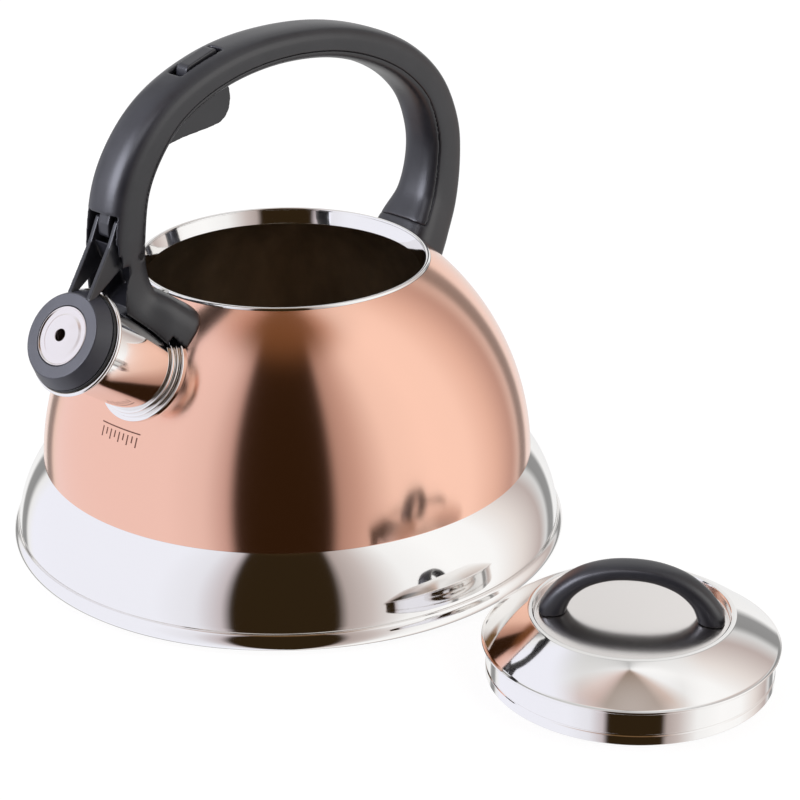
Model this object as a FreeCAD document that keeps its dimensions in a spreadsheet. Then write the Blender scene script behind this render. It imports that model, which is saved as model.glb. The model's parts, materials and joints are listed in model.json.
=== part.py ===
import FreeCAD, Part
import math
import os
import Sketcher
from FreeCAD import Placement, Rotation, Vector

# Stovetop whistling kettle, millimetres, +Z up.
# The origin is the centre of the base on the ground. The spout points along -X,
# the handle stands in the XZ plane, and the lid lies on the ground on the -Y side.

DIMENSIONS = [
    ("dome_radius", 104.5), ("dome_centre_offset", 7.7), ("dome_centre_height", 31.0),
    ("seam_height", 33.9), ("wall", 0.8), ("mouth_edge", 56.9),
    ("rim_radius", 55.9), ("rim_bead", 0.9), ("rim_height", 113.3), ("neck_radius", 52.9), ("neck_depth", 5.1),
    ("base_radius", 110.0), ("skirt_foot_radius", 107.9), ("skirt_curve", 46.0),
    ("floor_height", 5.2), ("foot_height", 6.9), ("disc_radius", 84.0),
    ("spout_elevation", 34.2), ("spout_turn", 3.7), ("spout_reach", 78.0), ("spout_root_height", 90.9),
    ("spout_back", 10.0), ("tube_radius", 16.0), ("collar_radius", 19.4), ("lip_radius", 20.3), ("tube_end", 48.0),
    ("cap_back", 49.4), ("cap_front", 55.4), ("cap_back_radius", 18.7), ("cap_front_radius", 15.9),
    ("seal_radius", 19.2), ("whistle_disc_radius", 11.1), ("whistle_hole", 2.3),
    ("handle_width", 20.0), ("handle_wall", 2.2), ("cover_depth", 3.5), ("cover_wall", 2.0), ("channel_width", 14.2),
    ("fork_slot", 15.2),
    ("pin_radius", 1.25), ("arm_gap", 8.2), ("arm_plate", 2.0), ("trigger_width", 5.8), ("trigger_slot", 7.2),
    ("screw_radius", 1.5), ("screw_head", 2.9), ("boss_radius", 3.8),
    ("lid_distance", 177.0), ("lid_skirt_radius", 51.7), ("lid_flange_radius", 53.5), ("lid_flange_height", 13.9),
    ("lid_ring_radius", 37.0), ("lid_ring_height", 24.9), ("dish_radius", 34.6), ("dish_height", 21.8),
    ("dish_curve", 250.0), ("lid_sheet", 0.6), ("lid_handle_turn", -54.7), ("lid_foot_reach", 28.0),
    ("lid_handle_height", 44.0), ("lid_handle_width", 11.0),
]

doc = FreeCAD.newDocument("Kettle")
sheet = doc.addObject("Spreadsheet::Sheet", "Dimensions")
for row, (alias, size) in enumerate(DIMENSIONS, start=1):
    sheet.set("A%d" % row, alias)
    sheet.set("B%d" % row, str(size))
    sheet.setAlias("B%d" % row, alias)
doc.recompute()


class Dim:
    """A length with its number and the sheet expression that gives it."""

    def __init__(self, value, text):
        self.value = value
        self.text = text

    def __add__(self, other):
        other = as_dim(other)
        return Dim(self.value + other.value, "(%s + %s)" % (self.text, other.text))

    def __sub__(self, other):
        other = as_dim(other)
        return Dim(self.value - other.value, "(%s - %s)" % (self.text, other.text))

    def __mul__(self, other):
        other = as_dim(other)
        return Dim(self.value * other.value, "(%s * %s)" % (self.text, other.text))


def as_dim(value):
    return value if isinstance(value, Dim) else Dim(float(value), "%.6g" % value)


def dim(alias):
    return Dim(float(sheet.get(alias)), "Dimensions.%s" % alias)


def size(alias):
    return dim(alias).value


SUB_PARTS = []


def keep(sub_part, label):
    """Give the sub-part its label and list it for export."""
    sub_part.Label = label
    SUB_PARTS.append(sub_part)
    return sub_part


def feature(label, shape, placement=None):
    sub_part = doc.addObject("Part::Feature", label)
    sub_part.Shape = shape
    if placement is not None:
        sub_part.Placement = placement
    return keep(sub_part, label)


def cut(label, base, tool):
    sub_part = doc.addObject("Part::Cut", label)
    sub_part.Base = base
    sub_part.Tool = tool
    return keep(sub_part, label)


# ---------------------------------------------------------------- outlines turned about an axis

def arc_through(start, end, radius, side):
    """Arc of the given radius from start to end, bulging left (+1) or right (-1) of the way."""
    chord = end.sub(start)
    half = chord.Length / 2
    left = Vector(-chord.y, chord.x, 0).normalize()
    rise = radius - math.sqrt(radius ** 2 - half ** 2)
    middle = (start + end) * 0.5 + left * (rise * side)
    return Part.Arc(start, middle, end).toShape().Curve


def turned(label, outline, placement=None):
    """Body turned about Z from an outline of (radius, height) corners, each a sheet length.

    A third entry in a corner makes the edge to the next corner an arc: (radius, side).
    """
    body = doc.addObject("PartDesign::Body", label)
    plane = [p for p in body.Origin.OriginFeatures if p.Role == "XZ_Plane"][0]
    sketch = body.newObject("Sketcher::SketchObject", label + "_outline")
    sketch.AttachmentSupport = [(plane, "")]
    sketch.MapMode = "FlatFace"
    corners = [(as_dim(c[0]), as_dim(c[1])) for c in outline]
    points = [Vector(r.value, z.value, 0) for r, z in corners]
    first_end = []
    for i, corner in enumerate(outline):
        start, end = points[i], points[(i + 1) % len(points)]
        if len(corner) == 2:
            sketch.addGeometry(Part.LineSegment(start, end), False)
            first_end.append(1)
            continue
        radius, side = as_dim(corner[2][0]), corner[2][1]
        centre = arc_through(start, end, radius.value, side).Center
        ends = (end, start) if side > 0 else (start, end)
        angles = [math.atan2(p.y - centre.y, p.x - centre.x) for p in ends]
        sketch.addGeometry(Part.ArcOfCircle(Part.Circle(centre, Vector(0, 0, 1), radius.value), *angles), False)
        first_end.append(2 if side > 0 else 1)
    for i in range(len(points)):
        after = (i + 1) % len(points)
        sketch.addConstraint(Sketcher.Constraint("Coincident", i, 3 - first_end[i], after, first_end[after]))
    for i, (r, z) in enumerate(corners):
        for kind, length, axis in (("DistanceX", r, -2), ("DistanceY", z, -1)):
            if abs(length.value) < 1e-9:
                sketch.addConstraint(Sketcher.Constraint("PointOnObject", i, first_end[i], axis))
                continue
            index = sketch.addConstraint(Sketcher.Constraint(kind, -1, 1, i, first_end[i], length.value))
            if "Dimensions" in length.text:
                sketch.setExpression("Constraints[%d]" % index, length.text)
        if len(outline[i]) > 2:
            radius = as_dim(outline[i][2][0])
            index = sketch.addConstraint(Sketcher.Constraint("Radius", i, radius.value))
            if "Dimensions" in radius.text:
                sketch.setExpression("Constraints[%d]" % index, radius.text)
    turn = body.newObject("PartDesign::Revolution", label + "_turn")
    turn.Profile = sketch
    turn.ReferenceAxis = (sketch, ["V_Axis"])
    turn.Angle = 360
    body.Tip = turn
    if placement is not None:
        body.Placement = placement
    return body


def cylinder(label, radius, length, placement):
    solid = doc.addObject("Part::Cylinder", label)
    solid.setExpression("Radius", as_dim(radius).text)
    solid.setExpression("Height", as_dim(length).text)
    solid.Placement = placement
    return solid


def turned_shape(points):
    """Plain solid turned about Z from straight edges, for use as a cutting tool."""
    wire = Part.makePolygon([Vector(r, 0, z) for r, z in points + points[:1]])
    return Part.Face(wire).revolve(Vector(0, 0, 0), Vector(0, 0, 1), 360)


# ---------------------------------------------------------------- vessel

def dome_height(radius, inset=0.0):
    """Height of the dome's surface, moved inwards by inset, at a distance from the axis."""
    reach = radius + size("dome_centre_offset")
    return size("dome_centre_height") + math.sqrt((size("dome_radius") - inset) ** 2 - reach ** 2)


def dome_reach(height, inset=0.0):
    rise = height - size("dome_centre_height")
    return math.sqrt((size("dome_radius") - inset) ** 2 - rise ** 2) - size("dome_centre_offset")


def dome_solid():
    """Everything inside the dome's outer surface, as a cutting tool."""
    low, high = size("seam_height"), dome_height(0)
    start = Vector(dome_reach(low), 0, low)
    end = Vector(0, 0, high)
    middle_height = (low + high) / 2
    middle = Vector(dome_reach(middle_height), 0, middle_height)
    arc = Part.Arc(start, middle, end).toShape()
    axis = Part.makeLine(end, Vector(0, 0, low))
    floor = Part.makeLine(Vector(0, 0, low), start)
    return Part.Face(Part.Wire([arc, axis, floor])).revolve(Vector(0, 0, 0), Vector(0, 0, 1), 360)


DOME = dome_solid()
# The spout leans a little to the -Y side: its root and its axis are both turned about the vessel.
AROUND = Rotation(Vector(0, 0, 1), size("spout_turn"))
SPOUT_TURN = AROUND.multiply(Rotation(Vector(0, 1, 0), size("spout_elevation") - 90))
SPOUT_AXIS = SPOUT_TURN.multVec(Vector(0, 0, 1))
SPOUT_UP = SPOUT_TURN.multVec(Vector(1, 0, 0))
SPOUT_ROOT = AROUND.multVec(Vector(-size("spout_reach"), 0, size("spout_root_height")))
SPOUT = Placement(SPOUT_ROOT - SPOUT_AXIS * size("spout_back"), SPOUT_TURN)


def spout_tool(radius, start, end):
    """Cylinder on the spout's axis between two distances from the spout's local origin."""
    base = SPOUT.Base + SPOUT_AXIS * start
    return Part.makeCylinder(radius, end - start, base, SPOUT_AXIS)


def make_vessel():
    seam = dim("seam_height")
    wall = dim("wall")
    outer, inner = dim("dome_radius"), dim("dome_radius") - wall
    low, edge = size("seam_height"), size("mouth_edge")
    # The dome is one arc from the seam to the mouth; its inner face is the same arc, a wall inside it.
    shell = turned("shell_blank", [
        (dome_reach(low), seam, (outer, -1)),
        (dim("mouth_edge"), dome_height(edge)),
        (dim("mouth_edge"), dome_height(edge, size("wall")), (inner, 1)),
        (dome_reach(low, size("wall")), seam),
    ])
    hole = cylinder("spout_hole", dim("tube_radius"), 30, SPOUT)
    cut("body_shell", shell, hole)

    skirt_top = dome_reach(low)
    keep(turned("base_pan", [
        (0, dim("floor_height")),
        (dim("skirt_foot_radius"), dim("floor_height")),
        (dim("skirt_foot_radius"), dim("foot_height") + 1.1, (dim("skirt_curve"), -1)),
        (skirt_top, seam),
        (skirt_top - size("wall"), seam, (dim("skirt_curve") - wall, 1)),
        (dim("skirt_foot_radius") - wall, dim("foot_height") + 1.1),
        (dim("skirt_foot_radius") - wall, dim("floor_height") + wall),
        (0, dim("floor_height") + wall),
    ]), "base_pan")

    # The rolled foot band grips the skirt's lower edge and turns in under the floor.
    keep(turned("foot_band", [
        (dim("skirt_foot_radius"), dim("floor_height")),
        (dim("skirt_foot_radius") - 6, dim("floor_height")),
        (dim("skirt_foot_radius") - 6, dim("floor_height") - 1),
        (dim("skirt_foot_radius") - 1.4, dim("floor_height") - 1),
        (dim("skirt_foot_radius") - 1.4, 0.4),
        (dim("base_radius") - 1.2, 0.4, (4.8, -1)),
        (dim("base_radius") - 0.9, dim("foot_height") - 0.5),
        (dim("skirt_foot_radius") + 0.35, dim("foot_height")),
        (dim("skirt_foot_radius"), dim("foot_height")),
    ]), "foot_band")

    disc = dim("disc_radius")
    keep(turned("base_core", [
        (0, 0.8), (disc, 0.8), (disc, dim("floor_height")), (0, dim("floor_height")),
    ]), "base_core")
    keep(turned("base_cap", [
        (0, 0), (disc, 0), (disc + 0.9, 0.9), (disc + 0.9, dim("floor_height")),
        (disc, dim("floor_height")), (disc, 0.8), (0, 0.8),
    ]), "base_cap")

    # The mouth ring is a small rolled bead, a sloping neck band inside the mouth and a lip under the dome's edge.
    bead, neck = dim("rim_bead"), dim("neck_radius")
    rim, top = dim("rim_radius"), dim("rim_height")
    lip_height = dome_height(edge + 2, size("wall")) - 0.1
    keep(turned("mouth_ring", [
        (rim - bead, top, (bead, 1)),
        (rim + bead, top),
        (rim + bead, top - 0.9),
        (rim, top - 0.9),
        (neck + 1.6, lip_height - 0.8),
        (edge + 2, lip_height - 1.6),
        (edge + 2, lip_height - 2.4),
        (neck + 1.4, lip_height - 1.6),
        (neck + 0.8, top - dim("neck_depth")),
        (neck, top - dim("neck_depth")),
    ]), "mouth_ring")


# ---------------------------------------------------------------- spout

def make_spout():
    tube, wall, lip, end = dim("tube_radius"), dim("wall"), dim("lip_radius"), dim("tube_end")
    keep(turned("spout_tube", [
        (tube - wall, dim("spout_back") - 3.5),
        (tube, dim("spout_back") - 3.5),
        (tube, end - 1.8),
        (lip - 0.8, end - 1.8, (0.9, -1)),
        (lip - 0.8, end),
        (tube - wall, end),
    ], SPOUT), "spout_tube")

    # Three stepped rings, cut to sit on the dome.
    start = size("spout_back")
    steps = [(size("collar_radius"), 0.0), (size("tube_radius") + 2.0, 1.3), (size("tube_radius") + 1.1, 3.2)]
    blank = spout_tool(steps[0][0], start - 4, start + steps[0][1])
    for radius, top in steps[1:]:
        blank = blank.fuse(spout_tool(radius, start - 4, start + top))
    blank = blank.cut(spout_tool(size("tube_radius"), 0, start * 2))
    feature("spout_collar", blank.cut(DOME).removeSplitter())


# ---------------------------------------------------------------- handle

# Stations up the front leg, over the grip and down the rear leg: x, z, thickness, width.
STATIONS = [
    (-62.2, 100.4, 26.0, 41.0), (-71.5, 109.0, 23.0, 34.0), (-80.0, 117.7, 20.0, 24.0),
    (-83.1, 130.0, 18.6, 20.0), (-82.5, 145.1, 18.0, 20.0), (-79.0, 161.3, 17.0, 20.0),
    (-71.3, 174.4, 16.0, 20.0), (-60.2, 185.0, 14.6, 20.0), (-45.1, 192.5, 13.6, 20.0),
    (-26.0, 197.3, 13.2, 20.0), (-4.0, 198.6, 12.8, 20.0), (20.0, 196.2, 13.2, 20.0),
    (42.2, 189.8, 14.2, 20.0), (61.6, 179.7, 15.4, 20.0), (75.8, 165.9, 16.6, 20.0),
    (83.1, 149.1, 18.2, 20.0), (83.9, 134.0, 19.6, 20.0), (80.3, 118.6, 21.0, 22.5),
    (73.0, 107.3, 22.5, 28.0), (65.5, 97.0, 24.0, 32.0),
]
LEG_STATION, TRIGGER_STATION = 2, 9
COVER_FIRST, COVER_LAST = 3, 18


def station_frame(index):
    """Centre, direction along the handle, and direction out of the loop at a station."""
    before = STATIONS[max(index - 1, 0)]
    after = STATIONS[min(index + 1, len(STATIONS) - 1)]
    centre = Vector(STATIONS[index][0], 0, STATIONS[index][1])
    along = Vector(after[0] - before[0], 0, after[1] - before[1]).normalize()
    return centre, along, Vector(-along.z, 0, along.x)


def rounded_section(index):
    """Closed rounded outline of the grip: fuller on the outer face, squarer on the inner."""
    centre, along, out = station_frame(index)
    thickness, width = STATIONS[index][2], STATIONS[index][3] * size("handle_width") / 20
    points = []
    for step in range(24):
        angle = math.radians(15 * step)
        c, s = math.cos(angle), math.sin(angle)
        power = 2 / 2.9 if s > 0 else 2 / 3.4
        across = math.copysign(abs(c) ** power, c) * width / 2
        outward = math.copysign(abs(s) ** power, s) * thickness / 2
        points.append(centre + Vector(0, across, 0) + out * outward)
    curve = Part.BSplineCurve()
    curve.interpolate(Points=points, PeriodicFlag=True)
    return Part.Wire(curve.toShape())


def box_section(index, inner, outer, width):
    """Rectangle between two distances from the centre line, inner measured up from the inner face."""
    centre, along, out = station_frame(index)
    half = STATIONS[index][2] / 2
    low, high = out * (inner - half), out * (half - outer)
    corners = [Vector(0, -width / 2, 0) + low, Vector(0, width / 2, 0) + low,
               Vector(0, width / 2, 0) + high, Vector(0, -width / 2, 0) + high]
    return Part.makePolygon([centre + c for c in corners + corners[:1]])


WHISTLE_PIVOT = Vector(-78.5, 0, 136.8)
TRIGGER_PIVOT = Vector(-59.0, 0, 182.9)
# Each foot's boss: place along X and height of its top. The screw's head sits a little above it.
BOSSES = [("front_mount", -62.5, 113.2), ("rear_mount", 72.0, 106.0)]
SEAT_RISE = 1.4
SCREW_LENGTH = 4.1
BELOW_FEET = 80.0
POCKET_DEPTH = 20.0
# What a hole is larger than its pin or screw, on the radius: held tight, turning, or passing through.
PRESS_FIT = 0.02
RUNNING_FIT = 0.05
LOOSE_FIT = 0.2


def cross_cylinder(centre, radius, width):
    """Cylinder along Y, centred on the handle's plane."""
    return Part.makeCylinder(radius, width, centre - Vector(0, width / 2, 0), Vector(0, 1, 0))


def make_handle():
    grip = Part.makeLoft([rounded_section(i) for i in range(len(STATIONS))], True, False)
    grip = grip.cut(DOME)
    grip = grip.cut(Part.makeCylinder(size("mouth_edge") + 0.2, 20, Vector(0, 0, 104)))
    # The front foot straddles the spout and its collar.
    grip = grip.cut(spout_tool(size("tube_radius") + 0.5, 0, 60))
    grip = grip.cut(spout_tool(size("collar_radius") + 0.3, 0, size("spout_back") + 4.6))

    # A screw in each foot goes down into a boss on the dome; the cover strip closes the rear screw's pocket.
    pockets = []
    for label, reach, top in BOSSES:
        base = Vector(reach, 0, BELOW_FEET)
        grip = grip.cut(Part.makeCylinder(size("boss_radius") + 0.15, top + 0.1 - BELOW_FEET, base))
        grip = grip.cut(Part.makeCylinder(size("screw_radius") + LOOSE_FIT, top + SEAT_RISE + 0.5 - BELOW_FEET, base))
        pockets.append(Part.makeCylinder(size("screw_head") + 0.3, POCKET_DEPTH, Vector(reach, 0, top + SEAT_RISE)))

    # The front leg is hollow from the whistle slot to behind the trigger.
    channel = Part.makeLoft([
        box_section(i, size("cover_wall"), size("handle_wall"), size("channel_width"))
        for i in range(LEG_STATION, TRIGGER_STATION + 1)], True, False)
    grip = grip.cut(channel)
    slot = Part.makeBox(18, size("fork_slot"), 48, Vector(-100, -size("fork_slot") / 2, 106))
    grip = grip.cut(slot)
    # The fork leans to the -Y side below the slot, so the slot's lower part is wider there.
    side = -size("fork_slot") / 2
    flare = [(side, 147), (side - 1.8, 133), (side - 1.8, 106), (0, 106), (0, 147)]
    flare_wire = Part.makePolygon([Vector(-100, y, z) for y, z in flare + flare[:1]])
    grip = grip.cut(Part.Face(flare_wire).extrude(Vector(16, 0, 0)))

    # The trigger's slots: one on top for its bar, one below for its finger fin.
    top_slot = Part.makeBox(21.4, size("trigger_slot"), 9, Vector(-10.7, -size("trigger_slot") / 2, -5))
    top_slot.Placement = Placement(Vector(-41.2, 0, 199.2), Rotation(Vector(0, 1, 0), -17.2))
    grip = grip.cut(top_slot)
    low_slot = [(-69.0, 178.5), (-66.5, 164.0), (-24.5, 164.0), (-24.5, 193.5), (-42.0, 193.5), (-60.0, 185.0)]
    grip = grip.cut(plate(low_slot, -size("trigger_slot") / 2, size("trigger_slot") / 2))

    grip = grip.cut(cross_cylinder(WHISTLE_PIVOT, size("pin_radius") + PRESS_FIT, 30))
    grip = grip.cut(cross_cylinder(TRIGGER_PIVOT, size("pin_radius") + PRESS_FIT, 17.2))
    hub_room = cross_cylinder(WHISTLE_PIVOT, 3.2, size("channel_width"))
    grip = grip.cut(hub_room)

    strip = Part.makeLoft([
        box_section(i, -4.0, STATIONS[i][2] - size("cover_depth"), size("handle_width") + 12)
        for i in range(COVER_FIRST, COVER_LAST + 1)], True, False)
    strip = strip.cut(Part.makeBox(24, 40, 24, WHISTLE_PIVOT + Vector(-12, -20, -20.6)))
    cover = grip.common(strip)
    shell = grip.cut(strip)
    for pocket in pockets:
        shell = shell.cut(pocket)
    feature("handle_shell", largest(shell))
    feature("handle_cover", largest(cover))


def largest(shape):
    """The biggest solid of a cut, without loose slivers."""
    return max(shape.Solids, key=lambda solid: solid.Volume)


def make_handle_mounts():
    screws = []
    for label, reach, top in BOSSES:
        base = Vector(reach, 0, BELOW_FEET)
        boss = Part.makeCylinder(size("boss_radius"), top - BELOW_FEET, base)
        boss = boss.cut(DOME)
        boss = boss.cut(spout_tool(size("collar_radius") + 0.1, 0, size("spout_back") * 2))
        boss = boss.cut(Part.makeCylinder(size("screw_radius") + PRESS_FIT, 40, base))
        feature(label, largest(boss))
        seat = Vector(reach, 0, top + SEAT_RISE)
        shank = Part.makeCylinder(size("screw_radius"), SCREW_LENGTH, seat - Vector(0, 0, SCREW_LENGTH))
        head = Part.makeCylinder(size("screw_head"), 1.9, seat)
        cross = Part.makeBox(3.6, 0.8, 2, seat + Vector(-1.8, -0.4, 0.9))
        cross = cross.fuse(Part.makeBox(0.8, 3.6, 2, seat + Vector(-0.4, -1.8, 0.9)))
        screws.append(shank.fuse(head).cut(cross).removeSplitter())
    feature("handle_screws", Part.makeCompound(screws))


def make_pins():
    for label, centre, width in (("whistle_pin", WHISTLE_PIVOT, 18.4), ("trigger_pin", TRIGGER_PIVOT, 17.0)):
        spin = Rotation(Vector(1, 0, 0), -90)
        pin = cylinder(label, dim("pin_radius"), width, Placement(centre - Vector(0, width / 2, 0), spin))
        keep(pin, label)


# ---------------------------------------------------------------- trigger

# Outline of the trigger lever in the handle's plane: the bar in the top slot, the finger fin
# under the handle, and the arm inside the front leg down to the tongue in front of the peg.
TRIGGER_OUTLINE = [
    (-48.6, 196.2), (-48.2, 199.0), (-47.0, 199.9), (-34.7, 203.7), (-33.5, 203.1), (-33.2, 200.6),
    (-33.2, 196.0), (-29.5, 190.5), (-27.8, 187.4), (-27.5, 183.6), (-28.3, 179.7), (-30.3, 177.0),
    (-33.0, 175.4), (-38.0, 174.7), (-51.0, 173.8), (-58.0, 172.7), (-62.2, 171.9), (-63.2, 176.0),
    (-63.0, 180.3), (-70.2, 173.2), (-78.2, 162.0), (-84.0, 154.4), (-85.6, 151.8), (-85.6, 145.4),
    (-86.3, 144.4), (-87.5, 144.4), (-88.2, 145.4), (-88.0, 149.5), (-85.4, 157.0), (-82.0, 165.0),
    (-74.6, 176.2), (-66.5, 183.4), (-60.0, 187.8), (-52.0, 191.8), (-48.6, 193.4),
]
PEG = WHISTLE_PIVOT + Vector(-5.5, 0, 10.0)


def plate(points, low, high):
    """Plate in the XZ plane between two Y values."""
    wire = Part.makePolygon([Vector(x, low, z) for x, z in points + points[:1]])
    return Part.Face(wire).extrude(Vector(0, high - low, 0))


def make_trigger():
    half = size("trigger_width") / 2
    lever = plate(TRIGGER_OUTLINE, -half, half)
    lever = lever.fuse(cross_cylinder(TRIGGER_PIVOT, 3.6, size("trigger_width")))
    lever = lever.cut(cross_cylinder(TRIGGER_PIVOT, size("pin_radius") + RUNNING_FIT, 30))
    feature("trigger", largest(lever.removeSplitter()))


# ---------------------------------------------------------------- whistle

def on_spout(distance, radius):
    """Point above the spout's axis, seen along Y, as (x, z)."""
    point = SPOUT.Base + SPOUT_AXIS * distance + SPOUT_UP * radius
    return point.x, point.z


# Below the slot the fork leans to the -Y side to meet the turned spout: the lean starts at this
# distance from the pin, measured towards the cap.
FORK_WAY = Vector(-0.87, 0, -0.49)
LEAN_START = 8.0
LEAN = 0.3055
FORK_MIDDLE = -0.85


def fork_plate(straight, leaning, low, thickness):
    """One plate of the fork: a straight part at the pin and a leaning part down to the cap."""
    corners = []
    for x, z in leaning + leaning[:1]:
        along = (Vector(x, 0, z) - WHISTLE_PIVOT).dot(FORK_WAY)
        corners.append(Vector(x, low - LEAN * (along - LEAN_START), z))
    lower = Part.Face(Part.makePolygon(corners)).extrude(Vector(0, thickness, 0))
    hub = Part.makeCylinder(2.8, thickness, WHISTLE_PIVOT + Vector(0, low, 0), Vector(0, 1, 0))
    return plate(straight, low, low + thickness).fuse([hub, lower])


def make_whistle():
    back, front = size("cap_back"), size("cap_front")
    disc = size("whistle_disc_radius")
    cap = turned_shape([
        (disc - 0.6, back + 2.2), (size("cap_back_radius") - 1.3, back + 2.2), (size("cap_back_radius") - 1.3, back),
        (size("cap_back_radius") - 0.3, back), (size("cap_back_radius"), back + 0.6),
        (size("cap_front_radius") + 0.25, front - 0.5), (size("cap_front_radius") - 0.3, front),
        (disc + 0.12, front), (disc + 0.12, front - 1.4), (disc - 0.6, front - 1.4)])
    cap.Placement = SPOUT

    gap, thick = size("arm_gap") / 2, size("arm_plate")
    bend = [(-91.0, 142.7), (-85.95, 133.66)]
    foot = [on_spout(front - 0.3, size("cap_front_radius") - 0.2), on_spout(front - 0.6, 13.6),
            on_spout(back + 3.0, 13.6), on_spout(back + 1.4, size("cap_back_radius") - 1.0)]
    straight = [(-86.9, 151.4)] + bend + [(-80.9, 135.3), (-76.9, 139.1), (-80.8, 147.0), (-83.6, 151.0)]
    leaning = bend[:1] + foot + bend[1:]
    arm = cap
    for low in (FORK_MIDDLE - gap - thick, FORK_MIDDLE + gap):
        arm = arm.fuse(fork_plate(straight, leaning, low, thick))
    # A web and the peg for the trigger's tongue join the plates.
    web = [(-89.2, 143.0), (-87.8, 142.6), (-85.6, 136.0), (-86.8, 135.8)]
    left, right = FORK_MIDDLE - gap - 0.5, FORK_MIDDLE + gap + 0.5
    arm = arm.fuse(plate(web, left, right))
    arm = arm.fuse(Part.makeCylinder(1.3, right - left, PEG + Vector(0, left, 0), Vector(0, 1, 0)))
    bore = cross_cylinder(WHISTLE_PIVOT, size("pin_radius") + RUNNING_FIT, 30)
    # The fork plates stop at the cap's wall, so nothing stands in the disc's seat.
    seat = spout_tool(disc + 0.12, front - 1.4, front + 5)
    seat = seat.fuse(spout_tool(size("cap_back_radius") - 1.3, back - 1, back + 2.2))
    feature("whistle_arm", largest(arm.cut(bore).cut(seat).removeSplitter()))

    hole = dim("whistle_hole")
    radius = dim("whistle_disc_radius")
    top = dim("cap_front")
    keep(turned("whistle_outer_disc", [
        (hole, top + 0.9), (4.2, top + 1.0), (7.6, top - 0.1), (8.6, top - 0.6), (radius - 0.9, top - 0.5),
        (radius - 0.3, top + 0.1), (radius, top - 0.4), (radius, top - 1.4), (8.4, top - 1.4), (7.0, top - 0.9),
        (4.0, top + 0.3), (hole, top + 0.3),
    ], SPOUT), "whistle_outer_disc")
    keep(turned("whistle_inner_disc", [
        (hole - 0.6, top - 5.2), (9.6, top - 5.2), (9.6, top - 1.7), (9.1, top - 1.7), (9.1, top - 4.7),
        (hole - 0.6, top - 4.7),
    ], SPOUT), "whistle_inner_disc")
    seal, flange = dim("cap_back"), dim("seal_radius")
    keep(turned("whistle_seal", [
        (11.5, seal - 1.25), (flange - 0.2, seal - 1.25), (flange, seal - 0.8), (flange - 0.2, seal - 0.05),
        (17.2, seal - 0.05), (17.2, seal + 2.1), (11.5, seal + 2.1),
    ], SPOUT), "whistle_seal")


def make_return_spring():
    """Torsion spring on the whistle pin, midway between the fork plates, with two straight legs."""
    wire, mean, pitch, turns = 0.35, 1.95, 1.1, 4.5
    helix = Part.makeHelix(pitch, pitch * turns, mean)
    slope = Vector(0, mean, pitch / (2 * math.pi)).normalize()
    end_slope = Vector(0, -slope.y, slope.z)
    start, end = Vector(mean, 0, 0), Vector(-mean, 0, pitch * turns)
    lead_in = Part.makeLine(start - slope * 4.0, start)
    lead_out = Part.makeLine(end, end + end_slope * 7.0)
    path = Part.Wire([lead_in] + helix.Edges + [lead_out])
    section = Part.Wire(Part.makeCircle(wire, start - slope * 4.0, slope))
    spring = path.makePipeShell([section], True, True)
    lay = Rotation(Vector(1, 0, 0), -90)
    turn = Rotation(Vector(0, 1, 0), -20)
    feature("return_spring", spring,
            Placement(WHISTLE_PIVOT + Vector(0, FORK_MIDDLE - pitch * turns / 2, 0), turn.multiply(lay)))


# ---------------------------------------------------------------- lid

LID = Placement(Vector(0, -size("lid_distance"), 0), Rotation())


def make_lid():
    # The dish is a shallow dome with a small flat at its middle.
    ring, top = dim("lid_ring_radius"), dim("lid_ring_height")
    flange, rise = dim("lid_flange_radius"), dim("lid_flange_height")
    dish, floor, sheet_wall = dim("dish_radius"), dim("dish_height"), dim("lid_sheet")
    curve = dim("dish_curve")
    crown = size("dish_curve") - math.sqrt(size("dish_curve") ** 2 - size("dish_radius") ** 2)
    cover = turned("lid_cover_blank", [
        (0, floor + crown),
        (3.0, floor + crown, (curve, 1)),
        (dish, floor),
        (dish + 0.5, top - 0.5),
        (dish + 1.1, top),
        (ring, top, (90, 1)),
        (flange, rise),
        (flange, rise - 0.8),
        (dim("lid_skirt_radius") - 0.7, rise - 0.8),
        (dim("lid_skirt_radius") - 0.7, rise - 0.1),
        (flange - 2.4, rise, (90, -1)),
        (ring - 0.2, top - sheet_wall - 0.1),
        (dish + 1.4, top - sheet_wall - 0.1),
        (dish + 0.9, floor - sheet_wall, (curve - sheet_wall, -1)),
        (3.0, floor + crown - sheet_wall),
        (0, floor + crown - sheet_wall),
    ], LID)
    holes = [Part.makeCylinder(size("screw_radius") + LOOSE_FIT, 30, Vector(side * size("lid_foot_reach"), 0, 0))
             for side in (-1, 1)]
    hole_pair = doc.addObject("Part::Feature", "lid_screw_holes")
    hole_pair.Shape = lid_turned(Part.makeCompound(holes))
    cut("lid_cover", cover, hole_pair)
    band = dim("lid_skirt_radius")
    keep(turned("lid_skirt", [
        (band - 0.8, 0.3), (band - 0.3, 0), (band + 0.15, 0.5), (band + 0.15, 3.6), (band - 0.3, 3.9),
        (band - 0.3, 4.2), (band, 4.5), (band, rise - 0.8), (band - 0.7, rise - 0.8), (band - 0.7, 5.0),
        (band - 0.8, 4.4),
    ], LID), "lid_skirt")
    keep(turned("lid_liner", [
        (0, 12.4), (44.0, 12.4), (band - 1.3, 9.4), (band - 0.7, 9.4), (band - 0.7, 10.0), (band - 1.0, 10.0),
        (44.3, 13.0), (0, 13.0),
    ], LID), "lid_liner")


def dish_surface(radius):
    """Height of the dish's upper face at a distance from the lid's middle."""
    curve = size("dish_curve")
    rim = math.sqrt(curve ** 2 - size("dish_radius") ** 2)
    return size("dish_height") + math.sqrt(curve ** 2 - radius ** 2) - rim


def lid_turned(shape):
    """Turn a shape made along X into the lid handle's direction and put it on the lid."""
    shape.Placement = Placement(LID.Base, Rotation(Vector(0, 0, 1), size("lid_handle_turn"))).multiply(
        shape.Placement)
    return shape


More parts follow.
